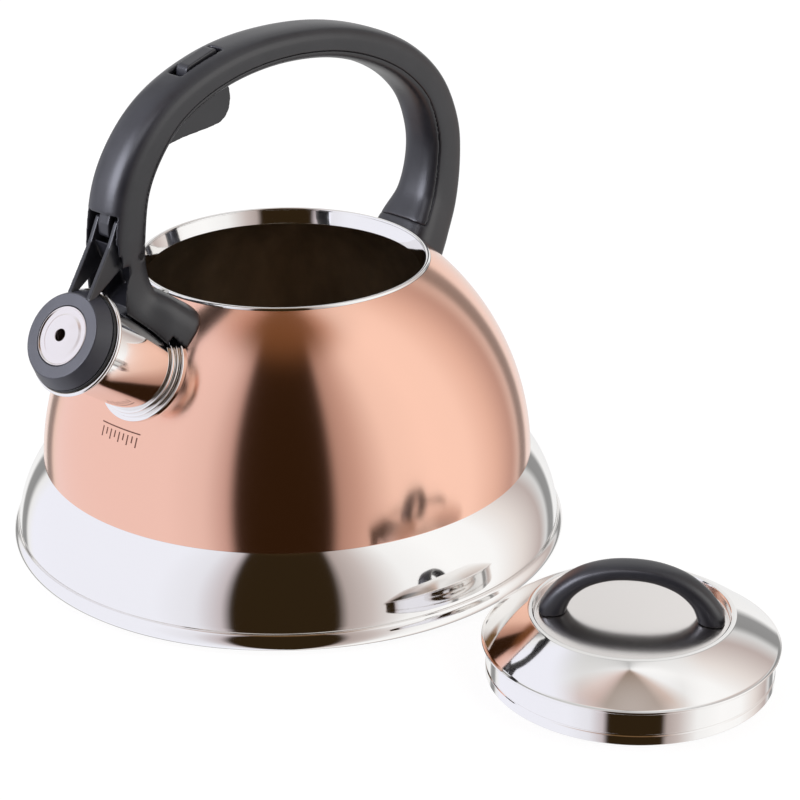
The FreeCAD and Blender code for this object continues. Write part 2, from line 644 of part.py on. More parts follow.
def make_lid_handle():
    reach, height, width = size("lid_foot_reach"), size("lid_handle_height"), size("lid_handle_width")
    floor = size("dish_height") + 0.1
    # Half of the arch: distance from the middle, height of the centre line, thickness.
    half = [(0.0, height - 3.1, 6.2), (9.0, height - 4.0, 6.3), (17.5, height - 7.2, 6.8),
            (24.0, height - 12.6, 7.8), (reach - 0.4, floor + 3.4, 9.6), (reach, floor, 10.6)]
    arch = [(-x, z, t) for x, z, t in reversed(half[1:])] + half
    sections = []
    for i, (x, z, thickness) in enumerate(arch):
        before, after = arch[max(i - 1, 0)], arch[min(i + 1, len(arch) - 1)]
        along = Vector(after[0] - before[0], 0, after[1] - before[1]).normalize()
        if i in (0, len(arch) - 1):
            along = Vector(0, 0, 1 if i == 0 else -1)
        out = Vector(-along.z, 0, along.x)
        points = []
        for step in range(16):
            angle = math.radians(22.5 * step)
            c, s = math.cos(angle), math.sin(angle)
            across = math.copysign(abs(c) ** 0.8, c) * width / 2
            outward = math.copysign(abs(s) ** 0.8, s) * thickness / 2
            points.append(Vector(x, across, z) + out * outward)
        curve = Part.BSplineCurve()
        curve.interpolate(Points=points, PeriodicFlag=True)
        sections.append(Part.Wire(curve.toShape()))
    # The feet stand on the domed dish.
    centre = Vector(0, 0, dish_surface(0) - size("dish_curve") + 0.02)
    grip = Part.makeLoft(sections, True, False).cut(Part.makeSphere(size("dish_curve"), centre))
    washers, screws = [], []
    under = dish_surface(reach + 3.6) - size("lid_sheet") - 0.05
    for side in (-1, 1):
        foot = Vector(side * reach, 0, 0)
        grip = grip.cut(Part.makeCylinder(size("screw_radius") + PRESS_FIT, 8, foot + Vector(0, 0, floor - 1)))
        washer = Part.makeCylinder(3.6, 0.8, foot + Vector(0, 0, under - 0.8))
        washers.append(washer.cut(Part.makeCylinder(size("screw_radius") + 0.15, 4, foot + Vector(0, 0, 18))))
        head = Part.makeCylinder(size("screw_head"), 1.8, foot + Vector(0, 0, under - 2.6))
        shank = Part.makeCylinder(size("screw_radius"), 9.0, foot + Vector(0, 0, under - 2.6))
        slot = Part.makeBox(6.2, 0.7, 0.9, foot + Vector(-3.1, -0.35, under - 2.7))
        screws.append(shank.fuse(head).cut(slot).removeSplitter())
    feature("lid_handle", lid_turned(largest(grip)))
    feature("lid_washers", lid_turned(Part.makeCompound(washers)))
    feature("lid_screws", lid_turned(Part.makeCompound(screws)))


def main():
    make_vessel()
    make_spout()
    make_handle()
    make_handle_mounts()
    make_pins()
    make_trigger()
    make_whistle()
    make_return_spring()
    make_lid()
    make_lid_handle()
    doc.recompute()
    for item in doc.Objects:
        if "Invalid" in item.State or "Error" in item.State:
            raise RuntimeError("object failed: " + item.Label)
    os.makedirs("parts", exist_ok=True)
    for sub_part in SUB_PARTS:
        shape = sub_part.Shape
        if shape.isNull() or not shape.isValid():
            raise RuntimeError("bad shape: " + sub_part.Label)
        shape.exportStep("parts/%s.step" % sub_part.Label)
        print("%-20s %9.1f mm3  %d solid(s)" % (sub_part.Label, shape.Volume, len(shape.Solids)))


main()
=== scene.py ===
import json
import math

import bpy
from mathutils import Matrix, Vector


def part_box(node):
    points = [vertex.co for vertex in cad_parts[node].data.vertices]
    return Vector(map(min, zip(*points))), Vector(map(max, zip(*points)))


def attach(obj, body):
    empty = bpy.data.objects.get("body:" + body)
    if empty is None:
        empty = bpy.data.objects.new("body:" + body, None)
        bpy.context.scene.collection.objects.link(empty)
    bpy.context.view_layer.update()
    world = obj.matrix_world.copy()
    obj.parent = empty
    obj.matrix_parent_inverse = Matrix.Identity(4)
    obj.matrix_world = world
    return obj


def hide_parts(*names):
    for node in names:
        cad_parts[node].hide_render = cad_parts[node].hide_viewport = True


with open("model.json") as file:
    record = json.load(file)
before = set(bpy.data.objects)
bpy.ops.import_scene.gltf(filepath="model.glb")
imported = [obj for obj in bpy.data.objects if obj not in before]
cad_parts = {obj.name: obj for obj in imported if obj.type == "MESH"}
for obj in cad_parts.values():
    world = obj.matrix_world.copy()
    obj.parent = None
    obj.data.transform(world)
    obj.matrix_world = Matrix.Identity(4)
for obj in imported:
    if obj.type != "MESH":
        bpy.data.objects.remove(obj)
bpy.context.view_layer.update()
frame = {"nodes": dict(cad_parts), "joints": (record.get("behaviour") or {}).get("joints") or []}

# Stovetop whistling kettle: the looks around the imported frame. Outlines are in millimetres, in the
# frame's axes, and become metres when a mesh is made. The spout points along -X, the lid lies at -Y.

MM = 0.001


def low(node):
    """Lowest corner of a CAD node, in millimetres."""
    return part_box(node)[0] / MM


def high(node):
    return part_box(node)[1] / MM


def pivot(joint):
    """A joint's place, in millimetres."""
    found = [j for j in frame["joints"] if j["name"] == joint][0]
    return Vector(found["pos_m"]) / MM


# ---------------------------------------------------------------- sizes

# The dome is an arc turned about the axis: its radius, how far past the axis its centre is, and how high.
DOME_RADIUS, DOME_OFFSET, DOME_CENTRE = 104.5, 7.7, 31.0
WALL = 0.8
SEAM = low("body_shell").z
FOOT_RADIUS = high("foot_band").x
SKIRT_FOOT = FOOT_RADIUS - 2.1
SKIRT_CURVE = 46.0
FLOOR = low("base_pan").z
FOOT_TOP = high("foot_band").z
RIM_TOP = high("mouth_ring").z
# Radii of the dome's upper edge, the rim, its bead and the neck band inside it, and the band's depth.
MOUTH_EDGE, RIM, BEAD, NECK, NECK_DEPTH = 56.9, 55.9, 0.9, 52.9, 5.1
DISC = high("base_cap").x - 0.9

# The spout's rise above level and its turn about the kettle, in degrees.
SPOUT_ELEVATION, SPOUT_AROUND = 34.2, 3.7
# Radii of the tube, collar and lip, and where the tube starts and ends along the spout.
TUBE, COLLAR, LIP, TUBE_START, TUBE_END = 16.0, 19.4, 20.3, 6.5, 48.0
# Where the collar starts along the spout, and where each of its three steps ends.
COLLAR_START, COLLAR_STEPS = 6.0, (10.0, 11.3, 13.2)
# Where the whistle's cap starts and ends along the spout, its radius there, and the seal's radius.
CAP_BACK, CAP_FRONT, CAP_BACK_RADIUS, CAP_FRONT_RADIUS, SEAL = 49.4, 55.4, 18.7, 15.9, 19.2
WHISTLE_DISC, WHISTLE_HOLE = 11.1, 2.3
AROUND = Matrix.Rotation(math.radians(SPOUT_AROUND), 4, "Z")
SPOUT_TURN = AROUND @ Matrix.Rotation(math.radians(SPOUT_ELEVATION - 90), 4, "Y")
SPOUT_AXIS = SPOUT_TURN @ Vector((0, 0, 1))
SPOUT_BASE = AROUND @ Vector((-78.0, 0, 90.9)) - SPOUT_AXIS * 10

WHISTLE_PIVOT = pivot("whistle_hinge")
TRIGGER_PIVOT = pivot("trigger_hinge")

LID_CENTRE = (low("lid_skirt") + high("lid_skirt")) / 2
LID_SKIRT = high("lid_skirt").x - 0.15
LID_FLANGE = high("lid_cover").x
LID_TOP = high("lid_cover").z
FLANGE_TOP = 13.9
# Radii of the lid's raised ring and of the dish in it, and the dish's height and curve.
RING, DISH, DISH_FLOOR, DISH_CURVE = 37.0, 34.6, 21.8, 250.0
LID_SHEET = 0.6
LID_HANDLE_TURN, LID_HANDLE_REACH, LID_HANDLE_WIDTH = -54.7, 28.0, 11.0

# The fill mark's turn about the kettle in degrees, its line's height and half its length.
MARK_TURN, MARK_HEIGHT, MARK_HALF = 183.1, 70.8, 10.0
MARK_LINE, MARK_RAISE, MARK_TICKS = 0.45, 0.04, 9

# Holes for a pin: tight in the handle, loose in what turns on it. Then the rooms for a boss and its screw.
PIN_SEAT, PIN_BORE = 1.27, 1.3
BOSS_ROOM, SHANK_ROOM, HEAD_ROOM, HEAD_DEPTH = 3.95, 1.7, 3.2, 20.0


def dome_height(radius, inset=0.0):
    """Height of the dome's surface, moved inwards by inset, at a distance from the axis."""
    return DOME_CENTRE + math.sqrt((DOME_RADIUS - inset) ** 2 - (radius + DOME_OFFSET) ** 2)


def dome_reach(height, inset=0.0):
    return math.sqrt((DOME_RADIUS - inset) ** 2 - (height - DOME_CENTRE) ** 2) - DOME_OFFSET


# ---------------------------------------------------------------- camera and studio

# In metres, degrees and millimetres of lens; the heading is the way it looks over the ground.
CAMERA_PLACE = Vector((-0.6216, -0.6666, 0.4492))
CAMERA_HEADING = Vector((0.7171, 0.6970, 0.0))
CAMERA_PITCH, CAMERA_ROLL, CAMERA_LENS = -23.53, -0.2, 112.7


def make_camera():
    data = bpy.data.cameras.new("camera")
    data.lens, data.sensor_width = CAMERA_LENS, 36.0
    data.clip_start, data.clip_end = 0.05, 20
    camera = bpy.data.objects.new("camera", data)
    bpy.context.scene.collection.objects.link(camera)
    pitch = math.radians(CAMERA_PITCH)
    forward = CAMERA_HEADING.normalized() * math.cos(pitch) + Vector((0, 0, math.sin(pitch)))
    turn = forward.to_track_quat("-Z", "Y").to_matrix().to_4x4()
    roll = Matrix.Rotation(math.radians(CAMERA_ROLL), 4, "Z")
    camera.matrix_world = Matrix.Translation(CAMERA_PLACE) @ turn @ roll
    bpy.context.scene.camera = camera


class Nodes:
    """A node tree with short calls: each makes a node and gives back its output."""

    def __init__(self, tree):
        self.tree = tree

    def add(self, kind, inputs=(), **settings):
        node = self.tree.nodes.new(kind)
        for key, value in settings.items():
            setattr(node, key, value)
        for key, value in dict(inputs).items():
            self.feed(node.inputs[key], value)
        return node

    def feed(self, socket, value):
        if isinstance(value, bpy.types.NodeSocket):
            self.tree.links.new(value, socket)
        else:
            socket.default_value = value

    def math(self, operation, a, b=0.0, c=0.0):
        return self.add("ShaderNodeMath", {0: a, 1: b, 2: c}, operation=operation).outputs[0]

    def ramp(self, factor, stops, interpolation="LINEAR"):
        """Colour from (position, grey or colour) stops."""
        node = self.add("ShaderNodeValToRGB", {0: factor})
        node.color_ramp.interpolation = interpolation
        elements = node.color_ramp.elements
        while len(elements) < len(stops):
            elements.new(0.5)
        for element, (position, colour) in zip(elements, stops):
            element.position = position
            element.color = (*colour, 1) if isinstance(colour, tuple) else (colour,) * 3 + (1,)
        return node.outputs[0]

    def noise(self, vector, scale, detail=2.0, roughness=0.5):
        node = self.add("ShaderNodeTexNoise", {"Vector": vector, "Scale": scale, "Detail": detail,
                                               "Roughness": roughness})
        return node.outputs[0]

    def mix(self, factor, a, b, blend="MIX"):
        node = self.add("ShaderNodeMix", {0: factor, 6: a, 7: b}, data_type="RGBA", blend_type=blend)
        return node.outputs[2]

    def spread(self, value, start, end):
        """A 0..1 value moved to start..end."""
        return self.add("ShaderNodeMapRange", {0: value, 3: start, 4: end}).outputs[0]


# Name, turn from the camera's side, height, power and colour of each softbox, in degrees, metres and watts.
SOFTBOXES = [
    ("left_softbox", -62, 0.75, 24.0, (0.84, 0.86, 1.0)),
    ("right_softbox", 75, 0.5, 3.0, (1.0, 0.97, 0.94)),
    ("top_softbox", -20, 1.9, 7.0, (0.90, 0.91, 1.0)),
]
SOFTBOX_AWAY, SOFTBOX_SIDE = 1.3, 0.9
LID_CARD_RISE, LID_CARD_FORWARD, LID_CARD_SIDE, LID_CARD_POWER = 1.3, 0.55, 1.3, 2.0
LIT = bpy.data.collections.new("lit_by_softboxes")
LID_LIT = bpy.data.collections.new("lit_by_lid_card")


def add_softbox(name, place, aim, side, power, tint, receivers, faded=False):
    """Square area light that lights and shows in the receivers alone; a faded one dims towards its edges."""
    data = bpy.data.lights.new(name, "AREA")
    data.shape, data.size, data.energy, data.color = "SQUARE", side, power, tint
    lamp = bpy.data.objects.new(name, data)
    lamp.location = place
    lamp.rotation_mode = "QUATERNION"
    lamp.rotation_quaternion = (aim - place).to_track_quat("-Z", "Y")
    bpy.context.scene.collection.objects.link(lamp)
    lamp.light_linking.receiver_collection = receivers
    if faded:
        data.use_nodes = True
        n = Nodes(data.node_tree)
        spot = n.add("ShaderNodeNewGeometry").outputs["Parametric"]
        across, up = n.add("ShaderNodeSeparateXYZ", {0: spot}).outputs[:2]
        # 4 t (1 - t) is 0 at both edges and 1 in the middle.
        fades = [n.math("MULTIPLY", t, n.math("SUBTRACT", 4.0, n.math("MULTIPLY", t, 4.0)))
                 for t in (across, up)]
        n.feed(data.node_tree.nodes["Emission"].inputs["Strength"], n.math("MULTIPLY", *fades))


def make_studio():
    """Pale sides with a dark gap on the camera's side, a darker ceiling over the gap, and a pale floor.

    The ramps run round the kettle: 0.5 is the camera's side, below it is the right and above it the left.
    """
    world = bpy.data.worlds.new("studio")
    bpy.context.scene.world = world
    world.use_nodes = True
    tree = world.node_tree
    tree.nodes.clear()
    n = Nodes(tree)
    way = n.add("ShaderNodeTexCoord").outputs["Generated"]
    heading = CAMERA_HEADING.normalized()
    front = n.add("ShaderNodeVectorMath", {0: way, 1: -heading}, operation="DOT_PRODUCT").outputs["Value"]
    side = n.add("ShaderNodeVectorMath", {0: way, 1: Vector((-heading.y, heading.x, 0))},
                 operation="DOT_PRODUCT").outputs["Value"]
    rise = n.add("ShaderNodeSeparateXYZ", {0: way}).outputs["Z"]
    turn = n.math("MULTIPLY_ADD", n.math("ARCTAN2", side, front), 0.5 / math.pi, 0.5)
    height = n.math("MULTIPLY_ADD", rise, 0.5, 0.5)
    dark = (0.026, 0.015, 0.006)
    sides = n.ramp(turn, [
        (0.0, 0.76), (0.075, 0.90), (0.085, 0.30), (0.107, 0.28), (0.118, 0.70), (0.14, (0.51, 0.43, 0.41)),
        (0.19, (0.80, 0.74, 0.71)), (0.24, 0.98), (0.30, 1.0), (0.36, 0.92), (0.405, (0.58, 0.51, 0.49)),
        (0.43, (0.44, 0.37, 0.35)), (0.442, dark), (0.558, dark), (0.57, (0.56, 0.50, 0.52)),
        (0.60, (0.80, 0.80, 0.86)), (0.65, (0.88, 0.89, 0.97)), (0.86, (0.88, 0.89, 0.98)),
        (0.882, 0.85), (0.893, 0.28), (0.915, 0.30), (0.925, 0.90), (1.0, 0.76)])
    above = n.ramp(height, [(0.0, 0.0), (0.90, 0.0), (0.975, 1.0), (1.0, 1.0)], "EASE")
    ceiling = n.ramp(turn, [
        (0.0, 0.50), (0.25, 0.92), (0.30, 0.80), (0.35, (0.46, 0.32, 0.25)), (0.40, (0.18, 0.10, 0.045)),
        (0.60, (0.17, 0.095, 0.04)), (0.65, (0.44, 0.30, 0.25)), (0.70, (0.62, 0.50, 0.46)), (0.77, 0.75),
        (1.0, 0.50)])
    light = n.mix(above, sides, ceiling)
    seen = n.add("ShaderNodeLightPath").outputs["Is Camera Ray"]
    colour = n.mix(seen, light, (1, 1, 1, 1))
    background = n.add("ShaderNodeBackground", {"Color": colour, "Strength": 1.08})
    output = n.add("ShaderNodeOutputWorld")
    tree.links.new(background.outputs[0], output.inputs["Surface"])

    # The softboxes light the plastic only. The metal shows the studio's walls, and the lid's top a card too.
    kettle_middle, lid_middle = Vector((0, 0, 0.1)), LID_CENTRE * MM
    for name, around, rise_by, power, tint in SOFTBOXES:
        way_in = Matrix.Rotation(math.radians(around), 3, "Z") @ heading
        place = Vector((0, 0, rise_by)) - way_in * SOFTBOX_AWAY
        add_softbox(name, place, kettle_middle, SOFTBOX_SIDE, power, tint, LIT)
    card_place = lid_middle + Vector((0, 0, LID_CARD_RISE)) - heading * LID_CARD_FORWARD
    add_softbox("lid_card", card_place, lid_middle, LID_CARD_SIDE, LID_CARD_POWER, (0.90, 0.94, 1.0), LID_LIT,
                faded=True)

    floor_mesh = bpy.data.meshes.new("floor")
    reach, steps = 4.0, 64
    ring = [(reach * math.cos(2 * math.pi * i / steps), reach * math.sin(2 * math.pi * i / steps), -0.0003)
            for i in range(steps)]
    floor_mesh.from_pydata(ring, [], [tuple(range(steps))])
    floor = bpy.data.objects.new("floor", floor_mesh)
    bpy.context.scene.collection.objects.link(floor)
    floor.visible_glossy = False
    material = bpy.data.materials.new("pale_floor")
    material.use_nodes = True
    shader = material.node_tree.nodes["Principled BSDF"]
    shader.inputs["Base Color"].default_value = (0.30, 0.30, 0.30, 1)
    shader.inputs["Roughness"].default_value = 0.9
    shader.inputs["Specular IOR Level"].default_value = 0.0
    shader.inputs["Emission Color"].default_value = (1, 1, 1, 1)
    shader.inputs["Emission Strength"].default_value = 0.84
    floor_mesh.materials.append(material)
    bpy.context.scene.view_settings.view_transform = "Standard"


# ---------------------------------------------------------------- materials

# Each piece's mesh keeps the coordinates it had in its own axes under this name.
OWN = "own_place"


def new_material(name, colour, metallic, roughness, carried=False):
    """A material with its shader, its tree helper and coordinates: the piece's own, or a CAD node's."""
    material = bpy.data.materials.new(name)
    material.use_nodes = True
    shader = material.node_tree.nodes["Principled BSDF"]
    shader.inputs["Base Color"].default_value = (*colour, 1)
    shader.inputs["Metallic"].default_value = metallic
    shader.inputs["Roughness"].default_value = roughness
    n = Nodes(material.node_tree)
    if carried:
        place = n.add("ShaderNodeTexCoord").outputs["Object"]
    else:
        place = n.add("ShaderNodeAttribute", attribute_name=OWN).outputs["Vector"]
    return material, shader, n, place


def brush_lines(n, place, along, across):
    """Coordinates that are long round the piece's own axis and fine across it."""
    parts = n.add("ShaderNodeSeparateXYZ", {0: place})
    x, y, z = parts.outputs
    reach = n.math("SQRT", n.math("ADD", n.math("MULTIPLY", x, x), n.math("MULTIPLY", y, y)))
    angle = n.math("ARCTAN2", y, x)
    down = n.math("MULTIPLY", n.math("SUBTRACT", reach, z), across)
    return n.add("ShaderNodeCombineXYZ", {0: n.math("MULTIPLY", angle, along), 1: down}).outputs[0]


def turned_metal(name, colour, roughness, depth, across=4000.0, anisotropy=0.0, stain=0.04, rough_range=0.05,
                 carried=False, streaks=0.0):
    """Metal with fine lines round its axis, faint cloudy staining and small changes in gloss."""
    material, shader, n, place = new_material(name, colour, 1.0, roughness, carried)
    lines = n.noise(brush_lines(n, place, 5.0, across), 1.0, 3.0, 0.6)
    clouds = n.noise(place, 28.0, 3.0)
    gloss = n.math("ADD", n.math("MULTIPLY", lines, 0.6), n.math("MULTIPLY", clouds, 0.4))
    shade = n.spread(gloss, 1.0 - stain, 1.0)
    if streaks:
        runs = n.add("ShaderNodeMapping", {"Vector": place, "Scale": (70.0, 70.0, 4.0)}).outputs[0]
        shade = n.math("MULTIPLY", shade, n.spread(n.noise(runs, 1.0, 3.0), 1.0 - streaks, 1.0 + streaks))
    tone = n.add("ShaderNodeCombineXYZ", {0: shade, 1: shade, 2: shade}).outputs[0]
    n.feed(shader.inputs["Base Color"], n.mix(1.0, (*colour, 1), tone, "MULTIPLY"))
    n.feed(shader.inputs["Roughness"], n.spread(gloss, roughness - rough_range, roughness + rough_range))
    bump = n.add("ShaderNodeBump", {"Strength": depth, "Distance": 0.00003, "Height": lines})
    n.feed(shader.inputs["Normal"], bump.outputs[0])
    if anisotropy:
        shader.inputs["Anisotropic"].default_value = anisotropy
        shader.inputs["Anisotropic Rotation"].default_value = 0.25
        tangent = n.add("ShaderNodeTangent", direction_type="RADIAL", axis="Z")
        n.feed(shader.inputs["Tangent"], tangent.outputs[0])
    return material


def moulded_plastic(name, colour, roughness, grain=0.12):
    """Moulded plastic with a fine grain, rubbed patches and a few hair scratches."""
    material, shader, n, place = new_material(name, colour, 0.0, roughness)
    fine = n.noise(place, 2600.0, 2.0)
    worn = n.noise(place, 45.0, 4.0, 0.6)
    stretched = n.add("ShaderNodeMapping", {"Vector": place, "Rotation": (0.4, 0.7, 0.5),
                                            "Scale": (1500.0, 60.0, 1500.0)}).outputs[0]
    hairs = n.ramp(n.noise(stretched, 1.0, 1.0), [(0.0, 0.0), (0.70, 0.0), (0.76, 1.0), (1.0, 1.0)])
    pale = tuple(min(1.0, c * 1.7 + 0.006) for c in colour)
    tint = n.mix(n.ramp(worn, [(0.4, 0.0), (0.75, 0.55)]), (*colour, 1), (*pale, 1))
    n.feed(shader.inputs["Base Color"], tint)
    rough = n.math("ADD", n.spread(worn, roughness - 0.07, roughness + 0.09), n.math("MULTIPLY", hairs, 0.08))
    n.feed(shader.inputs["Roughness"], rough)
    height = n.math("SUBTRACT", fine, n.math("MULTIPLY", hairs, 0.5))
    bump = n.add("ShaderNodeBump", {"Strength": grain, "Distance": 0.00006, "Height": height})
    n.feed(shader.inputs["Normal"], bump.outputs[0])
    return material


COPPER = turned_metal("copper_brushed", (0.93, 0.56, 0.43), 0.15, 0.22, anisotropy=0.7, rough_range=0.03)
POLISHED = turned_metal("steel_polished", (0.90, 0.885, 0.87), 0.06, 0.03, stain=0.02, rough_range=0.03)
INNER = turned_metal("steel_brushed_inside", (0.60, 0.51, 0.40), 0.42, 0.5, anisotropy=0.4, stain=0.3,
                     streaks=0.5)
SATIN = turned_metal("steel_satin", (0.86, 0.825, 0.805), 0.16, 0.12, stain=0.05)
ALUMINIUM = turned_metal("aluminium_turned", (0.72, 0.72, 0.73), 0.34, 0.5, stain=0.12, carried=True)
WHISTLE_STEEL = turned_metal("whistle_satin", (0.90, 0.85, 0.84), 0.20, 0.15, stain=0.06)
FASTENER = turned_metal("fastener_plain", (0.62, 0.61, 0.60), 0.28, 0.2, across=9000.0, stain=0.15,
                        carried=True)
BLACKENED = turned_metal("pin_blackened", (0.030, 0.029, 0.030), 0.42, 0.2, stain=0.2, carried=True)
PLASTIC = moulded_plastic("plastic_black_satin", (0.014, 0.014, 0.017), 0.33)
CAP_PLASTIC = moulded_plastic("plastic_black_cap", (0.026, 0.026, 0.032), 0.36, 0.08)
SILICONE = moulded_plastic("silicone_black", (0.006, 0.006, 0.006), 0.6, 0.2)
MARK = moulded_plastic("fill_mark_ink", (0.20, 0.075, 0.045), 0.5, 0.05)


# ---------------------------------------------------------------- mesh helpers

def arc(start, end, radius, side, steps=40):
    """Points from start to end, both included, on an arc bulging left (+1) or right (-1) of the way."""
    a, b = Vector(start), Vector(end)
    chord = b - a
    left = Vector((-chord.y, chord.x)).normalized()
    rise = radius - math.sqrt(radius ** 2 - (chord.length / 2) ** 2)
    centre = (a + b) / 2 + left * side * (rise - radius)
    first = math.atan2(a.y - centre.y, a.x - centre.x)
    sweep = math.remainder(math.atan2(b.y - centre.y, b.x - centre.x) - first, 2 * math.pi)
    return [(centre.x + radius * math.cos(first + sweep * i / steps),
             centre.y + radius * math.sin(first + sweep * i / steps), 0) for i in range(steps + 1)]


# A rounded corner becomes this many pieces, and one point more.
CORNER_STEPS = 5
CORNER_POINTS = CORNER_STEPS + 1


def rounded(corners, radius, steps=CORNER_STEPS):
    """Closed outline with its corners rounded; a corner's third entry is its own radius."""
    points = []
    for i, corner in enumerate(corners):
        here = Vector(corner[:2])
        back = Vector(corners[i - 1][:2]) - here
        on = Vector(corners[(i + 1) % len(corners)][:2]) - here
        bend = corner[2] if len(corner) > 2 else radius
        if bend <= 0 or back.length < 1e-6 or on.length < 1e-6 or back.angle(on) > math.radians(176):
            points.append((here.x, here.y))
            continue
        reach = min(bend / math.tan(back.angle(on) / 2), 0.46 * back.length, 0.46 * on.length)
        first, last = here + back.normalized() * reach, here + on.normalized() * reach
        for step in range(steps + 1):
            t = step / steps
            spot = first * (1 - t) ** 2 + here * 2 * t * (1 - t) + last * t ** 2
            points.append((spot.x, spot.y))
    return points


def mesh_of(name, points, faces):
    mesh = bpy.data.meshes.new(name)
    mesh.from_pydata([(x * MM, y * MM, z * MM) for x, y, z in points], [], faces)
    mesh.update()
    return mesh


def lathe(name, outline, segments=200, inner_from=None):
    """Closed outline of (radius, height) turned about Z. Faces past outline index inner_from take slot 1."""
    points, rings = [], []
    for r, z in outline:
        if abs(r) < 1e-6:
            rings.append([len(points)] * segments)
            points.append((0, 0, z))
            continue
        rings.append(list(range(len(points), len(points) + segments)))
        for i in range(segments):
            angle = 2 * math.pi * i / segments
            points.append((r * math.cos(angle), r * math.sin(angle), z))
    faces, slots = [], []
    for k, ring in enumerate(rings):
        after = rings[(k + 1) % len(rings)]
        if ring[0] == ring[1] and after[0] == after[1]:
            continue
        for i in range(segments):
            j = (i + 1) % segments
            corners = [ring[i], after[i], after[j], ring[j]]
            faces.append(tuple(dict.fromkeys(corners)))
            slots.append(1 if inner_from is not None and k >= inner_from else 0)
    mesh = mesh_of(name, points, faces)
    mesh.polygons.foreach_set("material_index", slots)
    return outward(mesh)


def outward(mesh):
    """Face normals pointing out of the closed mesh."""
    mesh.calc_loop_triangles()
    volume = 0.0
    for triangle in mesh.loop_triangles:
        a, b, c = (mesh.vertices[i].co for i in triangle.vertices)
        volume += a.dot(b.cross(c))
    if volume < 0:
        mesh.flip_normals()
    return mesh


def extrusion(name, outline, low_y, high_y, lean=None):
    """Plate from an outline of (x, z) between two Y values; lean gives a point's sideways shift."""
    count = len(outline)
    points = [(x, y + (lean(x, z) if lean else 0.0), z) for y in (low_y, high_y) for x, z in outline]
    faces = [tuple(range(count - 1, -1, -1)), tuple(range(count, 2 * count))]
    faces += [(i, (i + 1) % count, (i + 1) % count + count, i + count) for i in range(count)]
    return outward(mesh_of(name, points, faces))


def loft(name, sections):
    """Closed skin through sections with the same number of points."""
    count = len(sections[0])
    points = [p for section in sections for p in section]
    faces = [tuple(range(count - 1, -1, -1)), tuple(range(len(points) - count, len(points)))]
    for k in range(len(sections) - 1):
        for i in range(count):
            j = (i + 1) % count
            a, b = k * count, (k + 1) * count
            faces.append((a + i, a + j, b + j, b + i))
    return outward(mesh_of(name, points, faces))


def rod(name, start, end, radius, segments=64):
    """Closed cylinder between two points."""
    start, end = Vector(start), Vector(end)
    turn = (end - start).to_track_quat("Z", "Y")
    sections = []
    for centre in (start, end):
        sections.append([centre + turn @ Vector((radius * math.cos(2 * math.pi * i / segments),
                                                 radius * math.sin(2 * math.pi * i / segments), 0))
                         for i in range(segments)])
    return loft(name, sections)


def cross_rod(name, centre, radius, width):
    """Cylinder along Y, centred on the handle's plane."""
    half = Vector((0, width / 2, 0))
    return rod(name, Vector(centre) - half, Vector(centre) + half, radius)


def block(name, corner_low, corner_high, turn=Matrix.Identity(4)):
    """Box between two corners, then moved by turn."""
    (x0, y0, z0), (x1, y1, z1) = corner_low, corner_high
    outline = [(x0, z0), (x1, z0), (x1, z1), (x0, z1)]
    mesh = extrusion(name, outline, y0, y1)
    mesh.transform(Matrix.Diagonal((MM,) * 3 + (1,)) @ turn @ Matrix.Diagonal((1 / MM,) * 3 + (1,)))
    return mesh


def result(host, name):
    """The mesh that an object's modifiers give, with the object removed."""
    bpy.context.view_layer.update()
    made = bpy.data.meshes.new_from_object(host.evaluated_get(bpy.context.evaluated_depsgraph_get()))
    made.name = name
    bpy.data.objects.remove(host)
    return made


def carved(mesh, tools, operation="DIFFERENCE"):
    """The mesh with each tool cut away, joined on or kept in common."""
    for tool in tools:
        host = bpy.data.objects.new("work", mesh)
        helper = bpy.data.objects.new("tool", tool)
        for item in (host, helper):
            bpy.context.scene.collection.objects.link(item)
        step = host.modifiers.new("cut", "BOOLEAN")
        step.object, step.operation, step.solver = helper, operation, "MANIFOLD"
        before = len(mesh.vertices)
        mesh = result(host, mesh.name)
        if len(mesh.vertices) == before:
            raise RuntimeError("%s did not change %s" % (tool.name, mesh.name))
        bpy.data.objects.remove(helper)
    return mesh


def softened(mesh, voxel, passes=4):
    """The mesh rebuilt in even quads with its edges rounded as a moulding's are; voxel in millimetres."""
    host = bpy.data.objects.new("work", mesh)
    bpy.context.scene.collection.objects.link(host)
    remesh = host.modifiers.new("even", "REMESH")
    remesh.mode, remesh.voxel_size, remesh.use_smooth_shade = "VOXEL", voxel * MM, True
    smooth = host.modifiers.new("soft", "SMOOTH")
    smooth.factor, smooth.iterations = 0.5, passes
    return result(host, mesh.name)


def piece(name, mesh, body, slot, materials, replaced=(), place=None, sharp=35.0, weighted=True):
    """Show the mesh as a piece that rides on a body, with crisp edges past an angle."""
    own = mesh.attributes.new(OWN, "FLOAT_VECTOR", "POINT")
    own.data.foreach_set("vector", [c for vertex in mesh.vertices for c in vertex.co])
    if place is not None:
        mesh.transform(place)
    thing = bpy.data.objects.new(name, mesh)
    bpy.context.scene.collection.objects.link(thing)
    indices = [face.material_index for face in mesh.polygons]
    mesh.materials.clear()
    for material in materials:
        mesh.materials.append(material)
    mesh.polygons.foreach_set("material_index", indices)
    if slot in ("black_plastic", "silicone"):
        LIT.objects.link(thing)
    mesh.shade_smooth()
    if sharp:
        mesh.set_sharp_from_angle(angle=math.radians(sharp))
    if weighted:
        normals = thing.modifiers.new("normals", "WEIGHTED_NORMAL")
        normals.keep_sharp = True
    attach(thing, body)
    if replaced:
        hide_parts(*replaced)
    return thing


def inner_faces(mesh, inside):
    """Give material slot 1 to the faces whose centre and normal pass the test."""
    for face in mesh.polygons:
        face.material_index = 1 if inside(face.center, face.normal) else 0


SPOUT_PLACE = Matrix.Translation(SPOUT_BASE * MM) @ SPOUT_TURN
LID_PLACE = Matrix.Translation(Vector((LID_CENTRE.x, LID_CENTRE.y, 0)) * MM)


